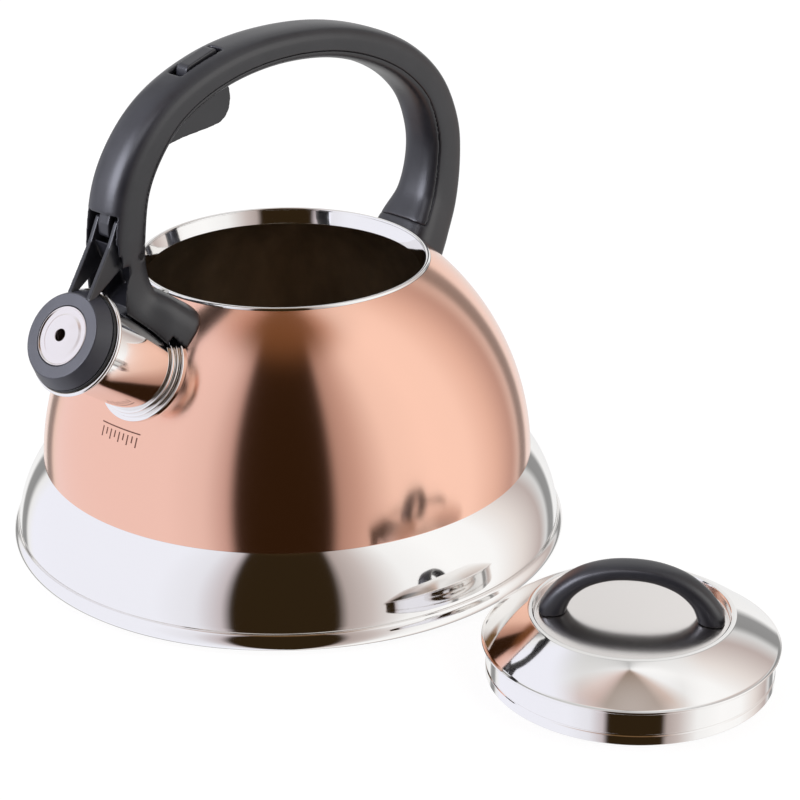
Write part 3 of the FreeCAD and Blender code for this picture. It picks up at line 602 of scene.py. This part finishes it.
def spout_rod(radius, start, end):
    return rod("spout_room", SPOUT_BASE + SPOUT_AXIS * start, SPOUT_BASE + SPOUT_AXIS * end, radius, 96)


def dome_tool():
    """Everything inside the dome's outer face."""
    edge = arc((dome_reach(SEAM), SEAM), (1.0, dome_height(1.0)), DOME_RADIUS, -1, 90)
    return lathe("dome_room", [(0, SEAM)] + [p[:2] for p in edge] + [(0, dome_height(1.0))], 240)


# ---------------------------------------------------------------- vessel

def make_vessel():
    foot, edge_top = dome_reach(SEAM), dome_height(MOUTH_EDGE)
    outer = arc((foot, SEAM + 0.35), (MOUTH_EDGE, edge_top), DOME_RADIUS, -1, 70)
    inner = arc((MOUTH_EDGE, dome_height(MOUTH_EDGE, WALL)), (dome_reach(SEAM, WALL), SEAM),
                DOME_RADIUS - WALL, 1, 70)
    outline = [(foot - 0.3, SEAM)] + [p[:2] for p in outer] + [p[:2] for p in inner]
    shell = carved(lathe("kettle_shell", outline, 256), [spout_rod(TUBE, 0, 30)])
    inner_faces(shell, lambda c, normal: normal.dot(c - Vector((0, 0, DOME_CENTRE * MM))) < 0)
    piece("kettle_shell", shell, "kettle", "copper_shell", [COPPER, INNER], ["body_shell"])

    step = 0.3
    skirt = arc((SKIRT_FOOT, FOOT_TOP + 1.1), (foot - step, SEAM), SKIRT_CURVE, -1, 48)
    inside = arc((foot - WALL, SEAM), (SKIRT_FOOT - WALL, FOOT_TOP + 1.1), SKIRT_CURVE - WALL, 1, 24)
    pan = [(0, FLOOR, 0), (SKIRT_FOOT, FLOOR, 1.0)] + skirt + inside
    pan += [(SKIRT_FOOT - WALL, FLOOR + WALL, 0.8), (0, FLOOR + WALL, 0)]
    wall_from = 1 + CORNER_POINTS + len(skirt)
    piece("kettle_skirt", lathe("kettle_skirt", rounded(pan, 0), 256, wall_from), "kettle",
          "polished_steel", [POLISHED, INNER], ["base_pan"])

    band = [(SKIRT_FOOT - 0.05, FLOOR), (SKIRT_FOOT - 6, FLOOR), (SKIRT_FOOT - 6, FLOOR - 1),
            (SKIRT_FOOT - 1.4, FLOOR - 1, 0.6), (SKIRT_FOOT - 1.4, 0.4, 0.7)]
    band += arc((FOOT_RADIUS - 1.2, 0.4), (FOOT_RADIUS - 0.9, FOOT_TOP - 0.5), 4.8, -1, 16)
    band += [(FOOT_RADIUS - 1.45, FOOT_TOP - 0.05, 0.3), (SKIRT_FOOT + 0.3, FOOT_TOP - 0.3, 0.1),
             (SKIRT_FOOT - 0.05, FOOT_TOP - 0.3, 0)]
    piece("foot_ring", lathe("foot_ring", rounded(band, 0.15), 256), "kettle", "polished_steel",
          [POLISHED], ["foot_band"])

    cap = [(0, 0.0, 0), (DISC - 34, 0.0, 0.3), (DISC - 33.4, 0.35, 0.3), (DISC - 32.8, 0.0, 0.3),
           (DISC - 9, 0.0, 0.3), (DISC - 8.4, 0.35, 0.3), (DISC - 7.8, 0.0, 0.3), (DISC, 0.0, 1.2),
           (DISC + 0.9, 0.9, 1.2), (DISC + 0.9, FLOOR, 0.1), (DISC, FLOOR, 0.1), (DISC, WALL, 0.1),
           (0, WALL, 0)]
    piece("base_plate", lathe("base_plate", rounded(cap, 0.3), 256), "kettle", "brushed_steel", [SATIN],
          ["base_cap"])

    lip = dome_height(MOUTH_EDGE + 2, WALL) - 0.1
    bead = arc((RIM - BEAD, RIM_TOP - BEAD), (RIM + BEAD, RIM_TOP - BEAD), BEAD, 1, 20)
    low_edge = RIM_TOP - BEAD - 0.9
    bottom = RIM_TOP - BEAD - NECK_DEPTH
    ring = bead + [(RIM + BEAD, low_edge, 0.3), (RIM, low_edge, 0.2), (NECK + 1.6, lip - 0.8, 0.2),
                   (MOUTH_EDGE + 2, lip - 1.6, 0.2), (MOUTH_EDGE + 2, lip - 2.4, 0.2),
                   (NECK + 1.4, lip - 1.6, 0.2), (NECK + 0.8, bottom, 0.25), (NECK, bottom, 0.25),
                   (NECK + 0.9, bottom + 2.4, 1.5)]
    piece("mouth_rim", lathe("mouth_rim", rounded(ring, 0), 256), "kettle", "polished_steel", [POLISHED],
          ["mouth_ring"])


def make_fill_mark():
    """A plain fill line with a row of ticks, pressed on the copper below the spout."""
    strips = [(-MARK_HALF, MARK_HALF, MARK_HEIGHT, MARK_HEIGHT + MARK_LINE)]
    tick_top, tick_half, margin = MARK_HEIGHT - 1.1, 0.3, 1.2
    for i in range(MARK_TICKS):
        middle = (MARK_HALF - margin) * (2 * i / (MARK_TICKS - 1) - 1)
        drop = 3.6 if i % 2 == 0 else 2.4
        strips.append((middle - tick_half, middle + tick_half, tick_top - drop, tick_top))
    points, faces = [], []
    for left, right, bottom, top in strips:
        columns = max(2, int((right - left) / 1.0))
        for height, raise_by in ((bottom, 0.0), (bottom, MARK_RAISE), (top, MARK_RAISE), (top, 0.0)):
            for i in range(columns + 1):
                across = left + (right - left) * i / columns
                reach = dome_reach(height) + raise_by
                turn = math.radians(MARK_TURN) + across / reach
                points.append((reach * math.cos(turn), reach * math.sin(turn), height))
        base = len(points) - 4 * (columns + 1)
        for row in range(4):
            after = (row + 1) % 4
            for i in range(columns):
                a, b = base + row * (columns + 1) + i, base + after * (columns + 1) + i
                faces.append((a, a + 1, b + 1, b))
        faces.append(tuple(base + row * (columns + 1) for row in range(4)))
        faces.append(tuple(base + row * (columns + 1) + columns for row in (3, 2, 1, 0)))
    mesh = mesh_of("fill_mark", points, faces)
    piece("fill_mark", mesh, "kettle", "copper_shell", [MARK], weighted=False)


# ---------------------------------------------------------------- spout

def make_spout():
    tube = [(TUBE - WALL, TUBE_START, 0.2), (TUBE, TUBE_START, 0.2), (TUBE, TUBE_END - 2.6, 1.2)]
    lip = arc((LIP - 0.9, TUBE_END - 1.9), (LIP - 0.9, TUBE_END), 0.96, -1, 12)
    inner_from = len(tube) * CORNER_POINTS + len(lip) - 1
    tube += lip + [(TUBE + 0.4, TUBE_END, 1.0), (TUBE - WALL, TUBE_END - 1.6, 1.2)]
    mesh = lathe("spout_pipe", rounded(tube, 0), 160, inner_from)
    piece("spout_pipe", mesh, "kettle", "polished_steel", [POLISHED, INNER], ["spout_tube"], SPOUT_PLACE)

    first, second, third = COLLAR_STEPS
    steps = [(TUBE - 0.02, COLLAR_START, 0), (COLLAR, COLLAR_START, 0), (COLLAR, first, 0.6),
             (TUBE + 2.0, first, 0.12), (TUBE + 2.0, second, 0.5), (TUBE + 1.1, second, 0.12),
             (TUBE + 1.1, third, 0.7), (TUBE - 0.02, third, 0.1)]
    collar = lathe("spout_rings", rounded(steps, 0), 160)
    room = dome_tool()
    room.transform(SPOUT_PLACE.inverted())
    collar = carved(collar, [room])
    piece("spout_rings", collar, "kettle", "polished_steel", [POLISHED], ["spout_collar"], SPOUT_PLACE)


# ---------------------------------------------------------------- handle

# Stations up the front leg, over the grip and down the rear leg: x, z, thickness, width.
STATIONS = [
    (-62.2, 100.4, 26.0, 41.0), (-71.5, 109.0, 23.0, 34.0), (-80.0, 117.7, 20.0, 24.0),
    (-83.1, 130.0, 18.6, 20.0), (-82.5, 145.1, 18.0, 20.0), (-79.0, 161.3, 17.0, 20.0),
    (-71.3, 174.4, 16.0, 20.0), (-60.2, 185.0, 14.6, 20.0), (-45.1, 192.5, 13.6, 20.0),
    (-26.0, 197.3, 13.2, 20.0), (-4.0, 198.6, 12.8, 20.0), (20.0, 196.2, 13.2, 20.0),
    (42.2, 189.8, 14.2, 20.0), (61.6, 179.7, 15.4, 20.0), (75.8, 165.9, 16.6, 20.0),
    (83.1, 149.1, 18.2, 20.0), (83.9, 134.0, 19.6, 20.0), (80.3, 118.6, 21.0, 22.5),
    (73.0, 107.3, 22.5, 28.0), (65.5, 97.0, 24.0, 32.0),
]
LEG_STATION, TRIGGER_STATION = 2, 9
COVER_FIRST, COVER_LAST, COVER_DEPTH = 3, 18, 3.5
CHANNEL_WIDTH, FORK_SLOT, HANDLE_WALL, COVER_WALL = 14.8, 15.5, 2.2, 2.0
# Each foot's boss: place along X and height of its top; the screw's seat is above it.
BOSSES, SEAT_RISE = [(-62.5, 113.2), (72.0, 106.0)], 1.4
TRIGGER_SLOT, TRIGGER_WIDTH = 7.2, 5.8


def eased(values, position):
    """Smooth value between listed ones, at a position counted in stations."""
    i = min(int(position), len(values) - 2)
    t = position - i
    p = [values[max(0, min(len(values) - 1, i + k))] for k in (-1, 0, 1, 2)]
    return 0.5 * (2 * p[1] + (p[2] - p[0]) * t + (2 * p[0] - 5 * p[1] + 4 * p[2] - p[3]) * t ** 2
                  + (3 * p[1] - p[0] - 3 * p[2] + p[3]) * t ** 3)


def handle_spot(position):
    """Centre, way out of the loop, thickness and width of the handle at a station position."""
    x, z, thickness, width = (eased([s[k] for s in STATIONS], position) for k in range(4))
    ahead, behind = min(position + 0.05, len(STATIONS) - 1), max(position - 0.05, 0)
    dx = eased([s[0] for s in STATIONS], ahead) - eased([s[0] for s in STATIONS], behind)
    dz = eased([s[1] for s in STATIONS], ahead) - eased([s[1] for s in STATIONS], behind)
    length = math.hypot(dx, dz)
    return Vector((x, 0, z)), Vector((-dz / length, 0, dx / length)), thickness, width


def grip_section(position):
    """Ring of points round the handle, squarer on its inner side than on its outer one."""
    centre, out, thickness, width = handle_spot(position)
    count = 72
    section = []
    for i in range(count):
        c, s = math.cos(2 * math.pi * i / count), math.sin(2 * math.pi * i / count)
        power = 2 / 2.9 if s > 0 else 2 / 3.4
        across = math.copysign(abs(c) ** power, c) * width / 2
        outward_by = math.copysign(abs(s) ** power, s) * thickness / 2
        section.append(centre + Vector((0, across, 0)) + out * outward_by)
    return section


def box_section(position, inner, outer, width):
    """Rectangle across the handle, inner up from the inner face and outer down from the outer one."""
    centre, out, thickness, _ = handle_spot(position)
    bottom, top = out * (inner - thickness / 2), out * (thickness / 2 - outer)
    side = Vector((0, width / 2, 0))
    return [centre - side + bottom, centre + side + bottom, centre + side + top, centre - side + top]


def positions(first, last, per_station=6):
    return [first + i / per_station for i in range((last - first) * per_station + 1)]


def make_handle():
    grip = loft("handle_body", [grip_section(p) for p in positions(0, len(STATIONS) - 1, 8)])
    channel = loft("channel", [box_section(p, COVER_WALL, HANDLE_WALL, CHANNEL_WIDTH)
                               for p in positions(LEG_STATION, TRIGGER_STATION)])
    half = FORK_SLOT / 2
    front_slot = block("front_slot", (-100, -half, 106), (-82, half, 154))
    flare = [(-half, 147), (-half - 1.8, 133), (-half - 1.8, 106), (0, 106), (0, 147)]
    lean_room = loft("lean_room", [[(x, y, z) for y, z in flare] for x in (-84, -100)])
    lean = Matrix.Translation((-41.2, 0, 199.2)) @ Matrix.Rotation(math.radians(-17.2), 4, "Y")
    top_slot = block("top_slot", (-10.7, -TRIGGER_SLOT / 2, -5), (10.7, TRIGGER_SLOT / 2, 4), lean)
    low_slot = extrusion("low_slot", [(-69.0, 178.5), (-66.5, 164.0), (-24.5, 164.0), (-24.5, 193.5),
                                      (-42.0, 193.5), (-60.0, 185.0)], -TRIGGER_SLOT / 2, TRIGGER_SLOT / 2)
    tools = [dome_tool(), spout_rod(TUBE + 0.5, 0, 60), spout_rod(COLLAR + 0.3, 0, 14.6), channel, front_slot,
             lean_room, top_slot, low_slot, cross_rod("pin_room", WHISTLE_PIVOT, PIN_SEAT, 30),
             cross_rod("pin_room", TRIGGER_PIVOT, PIN_SEAT, 17.2),
             cross_rod("hub_room", WHISTLE_PIVOT, 3.2, CHANNEL_WIDTH)]
    pockets = []
    for reach, top in BOSSES:
        seat = top + SEAT_RISE
        tools.append(rod("boss_room", (reach, 0, 80), (reach, 0, top + 0.1), BOSS_ROOM))
        tools.append(rod("shank_room", (reach, 0, 80), (reach, 0, seat + 0.5), SHANK_ROOM))
        pockets.append(rod("head_room", (reach, 0, seat), (reach, 0, seat + HEAD_DEPTH), HEAD_ROOM))
    grip = carved(grip, tools)

    strip = loft("strip", [box_section(p, -4.0, handle_spot(p)[2] - COVER_DEPTH, 32)
                           for p in positions(COVER_FIRST, COVER_LAST)])
    x, _, z = WHISTLE_PIVOT
    strip = carved(strip, [block("pivot_room", (x - 12, -20, z - 20.6), (x + 12, 20, z + 3.8))])
    cover = carved(grip.copy(), [strip.copy()], "INTERSECT")
    shell = carved(grip, [strip] + pockets)
    for name, mesh, node in (("handle_body", shell, "handle_shell"), ("handle_strip", cover, "handle_cover")):
        mesh.name = name
        piece(name, softened(mesh, 0.55, 3), "kettle", "black_plastic", [PLASTIC], [node], sharp=0,
              weighted=False)


# ---------------------------------------------------------------- trigger

# The lever in the handle's plane, as (x, z): the bar in the top slot, the fin, and the tongue in the leg.
TRIGGER_OUTLINE = [
    (-48.6, 196.2), (-48.2, 199.0), (-47.0, 199.9), (-34.7, 203.7), (-33.5, 203.1), (-33.2, 200.6),
    (-33.2, 196.0), (-29.5, 190.5), (-27.8, 187.4), (-27.5, 183.6), (-28.3, 179.7), (-30.3, 177.0),
    (-33.0, 175.4), (-38.0, 174.7), (-51.0, 173.8), (-58.0, 172.7), (-62.2, 171.9), (-63.2, 176.0),
    (-63.0, 180.3), (-70.2, 173.2), (-78.2, 162.0), (-84.0, 154.4), (-85.6, 151.8), (-85.6, 145.4),
    (-86.3, 144.4), (-87.5, 144.4), (-88.2, 145.4), (-88.0, 149.5), (-85.4, 157.0), (-82.0, 165.0),
    (-74.6, 176.2), (-66.5, 183.4), (-60.0, 187.8), (-52.0, 191.8), (-48.6, 193.4),
]


def make_trigger():
    half = TRIGGER_WIDTH / 2
    lever = extrusion("trigger_lever", rounded(TRIGGER_OUTLINE, 2.5, 4), -half, half)
    lever = carved(lever, [cross_rod("hub", TRIGGER_PIVOT, 3.6, TRIGGER_WIDTH)], "UNION")
    lever = carved(lever, [cross_rod("bore", TRIGGER_PIVOT, PIN_BORE, 30)])
    piece("trigger_lever", softened(lever, 0.35, 6), "trigger", "black_plastic", [PLASTIC], ["trigger"],
          sharp=0, weighted=False)


# ---------------------------------------------------------------- whistle

def on_spout(distance, radius):
    """Point in the handle's plane above the spout's axis, as (x, z)."""
    spot = SPOUT_BASE + SPOUT_AXIS * distance + (SPOUT_TURN @ Vector((1, 0, 0))) * radius
    return spot.x, spot.z


# Below the slot the fork leans to the -Y side to meet the turned spout.
FORK_WAY = Vector((-0.87, 0, -0.49))
LEAN_START, LEAN, FORK_MIDDLE = 8.0, 0.3055, -0.85


def fork_lean(x, z):
    return -LEAN * ((Vector((x, 0, z)) - WHISTLE_PIVOT).dot(FORK_WAY) - LEAN_START)


def make_whistle():
    back, front, disc = CAP_BACK, CAP_FRONT, WHISTLE_DISC
    cap = [(disc - 0.6, back + 2.2, 0.2), (CAP_BACK_RADIUS - 1.3, back + 2.2, 0.2),
           (CAP_BACK_RADIUS - 1.3, back, 0.3), (CAP_BACK_RADIUS - 0.2, back, 0.3),
           (CAP_BACK_RADIUS, back + 0.6, 0.3), (CAP_FRONT_RADIUS + 0.2, front - 0.4, 0.0),
           (CAP_FRONT_RADIUS - 0.25, front, 0.35), (disc + 0.12, front, 0.35),
           (disc + 0.12, front - 1.4, 0.1), (disc - 0.6, front - 1.4, 0.1)]
    cap_mesh = lathe("whistle_cap", rounded(cap, 0.3), 200)
    piece("whistle_cap", cap_mesh, "whistle", "black_plastic", [CAP_PLASTIC], ["whistle_arm"], SPOUT_PLACE)

    gap, thick = 4.1, 2.0
    bend = [(-91.0, 142.7), (-85.95, 133.66)]
    foot = [on_spout(front - 0.4, CAP_FRONT_RADIUS - 0.4), on_spout(front - 0.9, 13.6),
            on_spout(back + 3.0, 13.6), on_spout(back + 1.4, CAP_BACK_RADIUS - 1.0)]
    x, z = WHISTLE_PIVOT.x, WHISTLE_PIVOT.z
    straight = [(-86.9, 151.4, 0.8)] + bend + [(-80.9, 135.3, 0.8), (-76.9, 139.1, 0.8), (-80.8, 147.0, 1.0),
                                             (-83.6, 151.0, 0.8)]
    leaning = bend[:1] + foot + bend[1:]
    fork = None
    for low_y in (FORK_MIDDLE - gap - thick, FORK_MIDDLE + gap):
        plate = extrusion("fork", rounded(straight, 0, 4), low_y, low_y + thick)
        lower = extrusion("fork_foot", leaning, low_y, low_y + thick, fork_lean)
        hub = rod("hub", (x, low_y, z), (x, low_y + thick, z), 2.8)
        plate = carved(plate, [hub, lower], "UNION")
        fork = plate if fork is None else carved(fork, [plate], "UNION")
    left, right = FORK_MIDDLE - gap - 0.5, FORK_MIDDLE + gap + 0.5
    web = extrusion("web", [(-89.2, 143.0), (-87.8, 142.6), (-85.6, 136.0), (-86.8, 135.8)], left, right)
    peg = rod("peg", (x - 5.5, left, z + 10.0), (x - 5.5, right, z + 10.0), 1.3)
    fork = carved(fork, [web, peg], "UNION")
    fork = carved(fork, [cross_rod("bore", WHISTLE_PIVOT, PIN_BORE, 30)])
    piece("whistle_fork", softened(fork, 0.3, 4), "whistle", "black_plastic", [PLASTIC], ["whistle_arm"],
          sharp=0, weighted=False)

    hole, radius, top = WHISTLE_HOLE, disc, front
    outer = [(hole, top + 0.9, 0.3), (4.2, top + 1.0, 2.0), (7.6, top - 0.1, 2.0), (8.6, top - 0.6, 0.8),
             (radius - 0.9, top - 0.5, 0.5), (radius - 0.3, top + 0.1, 0.3), (radius, top - 0.4, 0.3),
             (radius, top - 1.4, 0.1), (8.4, top - 1.4, 0.3), (7.0, top - 0.9, 1.0), (4.0, top + 0.3, 1.0),
             (hole, top + 0.3, 0.1)]
    piece("whistle_plate", lathe("whistle_plate", rounded(outer, 0), 160), "whistle", "whistle_steel",
          [WHISTLE_STEEL], ["whistle_outer_disc"], SPOUT_PLACE)
    inner = [(hole - 0.6, top - 5.2), (9.6, top - 5.2), (9.6, top - 1.7), (9.1, top - 1.7), (9.1, top - 4.7),
             (hole - 0.6, top - 4.7)]
    piece("whistle_cup", lathe("whistle_cup", rounded(inner, 0.2), 128), "whistle", "whistle_steel",
          [WHISTLE_STEEL], ["whistle_inner_disc"], SPOUT_PLACE)
    seal = [(11.5, back - 1.25), (SEAL - 0.2, back - 1.25), (SEAL, back - 0.8), (SEAL - 0.2, back - 0.05),
            (17.2, back - 0.05), (17.2, back + 2.1), (11.5, back + 2.1)]
    piece("whistle_gasket", lathe("whistle_gasket", rounded(seal, 0.25), 128), "whistle", "silicone",
          [SILICONE], ["whistle_seal"], SPOUT_PLACE)


# ---------------------------------------------------------------- lid

def make_lid():
    crown = DISH_CURVE - math.sqrt(DISH_CURVE ** 2 - DISH ** 2)
    peak = DISH_FLOOR + crown
    dish = arc((3.0, peak), (DISH - 0.4, DISH_FLOOR), DISH_CURVE, 1, 20)
    cone = arc((RING - 0.1, LID_TOP - 0.05), (LID_FLANGE - 0.9, FLANGE_TOP + 0.35), 90, 1, 40)
    under = arc((LID_FLANGE - 2.4, FLANGE_TOP), (RING - 0.2, LID_TOP - LID_SHEET - 0.1), 90, -1, 20)
    floor_under = arc((DISH + 0.9, DISH_FLOOR - LID_SHEET), (3.0, peak - LID_SHEET), DISH_CURVE - LID_SHEET,
                      -1, 16)
    cover = [(0, peak, 0)] + dish + [(DISH + 0.2, DISH_FLOOR + 0.1, 0.4), (DISH + 0.5, LID_TOP - 0.5, 0.5),
                                     (DISH + 1.0, LID_TOP, 0.35)] + cone
    cover += [(LID_FLANGE, FLANGE_TOP + 0.05, 0.35), (LID_FLANGE, FLANGE_TOP - 0.8, 0.35),
              (LID_SKIRT - 0.7, FLANGE_TOP - 0.8, 0), (LID_SKIRT - 0.7, FLANGE_TOP - 0.1, 0)]
    cover += under + [(DISH + 1.4, LID_TOP - LID_SHEET - 0.1, 0.2)] + floor_under + [(0, peak - LID_SHEET, 0)]
    lid_top = lathe("lid_top", rounded(cover, 0), 256)
    lid_place = LID_PLACE @ Matrix.Rotation(math.radians(LID_HANDLE_TURN), 4, "Z")
    lid_top = carved(lid_top, [rod("screw_room", (x, 0, 0), (x, 0, 30), SHANK_ROOM)
                               for x in (-LID_HANDLE_REACH, LID_HANDLE_REACH)])
    inner_faces(lid_top, lambda c, normal: math.hypot(c.x, c.y) > (DISH + 0.6) * MM and normal.z > -0.2)
    top = piece("lid_top", lid_top, "lid", "polished_steel", [SATIN, POLISHED], ["lid_cover"], lid_place)
    LID_LIT.objects.link(top)

    band = LID_SKIRT
    skirt = [(band - 0.8, 0.3), (band - 0.3, 0), (band + 0.15, 0.5), (band + 0.15, 3.6), (band - 0.3, 3.9),
             (band - 0.3, 4.2), (band, 4.5), (band, FLANGE_TOP - 0.8), (band - 0.7, FLANGE_TOP - 0.8),
             (band - 0.7, 5.0), (band - 0.8, 4.4)]
    piece("lid_band", lathe("lid_band", rounded(skirt, 0.3), 256), "lid", "polished_steel", [POLISHED],
          ["lid_skirt"], LID_PLACE)
    liner = [(0, 12.4, 0), (44.0, 12.4, 1.5), (band - 1.3, 9.4, 0.6), (band - 0.7, 9.4, 0.1),
             (band - 0.7, 10.0, 0.1), (band - 1.0, 10.0, 0.6), (44.3, 13.0, 1.5), (0, 13.0, 0)]
    piece("lid_inner", lathe("lid_inner", rounded(liner, 0), 200), "lid", "brushed_steel", [SATIN],
          ["lid_liner"], LID_PLACE)

    reach, height, width = LID_HANDLE_REACH, high("lid_handle").z, LID_HANDLE_WIDTH
    foot = DISH_FLOOR + 0.1
    half = [(0.0, height - 3.1, 6.2), (9.0, height - 4.0, 6.3), (17.5, height - 7.2, 6.8),
            (24.0, height - 12.6, 7.8), (reach - 0.4, foot + 3.4, 9.6), (reach, foot, 10.6)]
    arch = [(-x, z, t) for x, z, t in reversed(half[1:])] + half
    columns = [[station[k] for station in arch] for k in range(3)]
    sections, steps, last = [], 8, len(arch) - 1
    for i in range(last * steps + 1):
        position = i / steps
        x, z, thickness = (eased(column, position) for column in columns)
        ahead, behind = min(position + 0.05, last), max(position - 0.05, 0)
        dx = eased(columns[0], ahead) - eased(columns[0], behind)
        dz = eased(columns[1], ahead) - eased(columns[1], behind)
        along = Vector((dx, 0, dz)).normalized()
        out = Vector((-along.z, 0, along.x))
        ring = []
        for k in range(48):
            c, s = math.cos(2 * math.pi * k / 48), math.sin(2 * math.pi * k / 48)
            ring.append(Vector((x, math.copysign(abs(c) ** 0.8, c) * width / 2, z))
                        + out * math.copysign(abs(s) ** 0.8, s) * thickness / 2)
        sections.append(ring)
    grip = loft("lid_grip", sections)
    dish_room = [(0, 0)] + [(r, peak + 0.04 - r * r / (2 * DISH_CURVE)) for r in range(2, 46, 4)] + [(42, 0)]
    grip = carved(grip, [lathe("dish_room", dish_room, 96)])
    piece("lid_grip", softened(grip, 0.4, 3), "lid", "black_plastic", [PLASTIC], ["lid_handle"], lid_place,
          sharp=0, weighted=False)


# ---------------------------------------------------------------- CAD nodes that stay

def paint_frame():
    """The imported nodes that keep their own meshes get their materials."""
    stays = [(ALUMINIUM, ["base_core"]), (BLACKENED, ["whistle_pin", "trigger_pin"]),
             (FASTENER, ["front_mount", "rear_mount", "handle_screws", "return_spring", "lid_washers",
                         "lid_screws"])]
    for material, nodes in stays:
        for node in nodes:
            for material_slot in frame["nodes"][node].material_slots:
                material_slot.material = material


make_camera()
make_studio()
make_vessel()
make_fill_mark()
make_spout()
make_handle()
make_trigger()
make_whistle()
make_lid()
paint_frame()
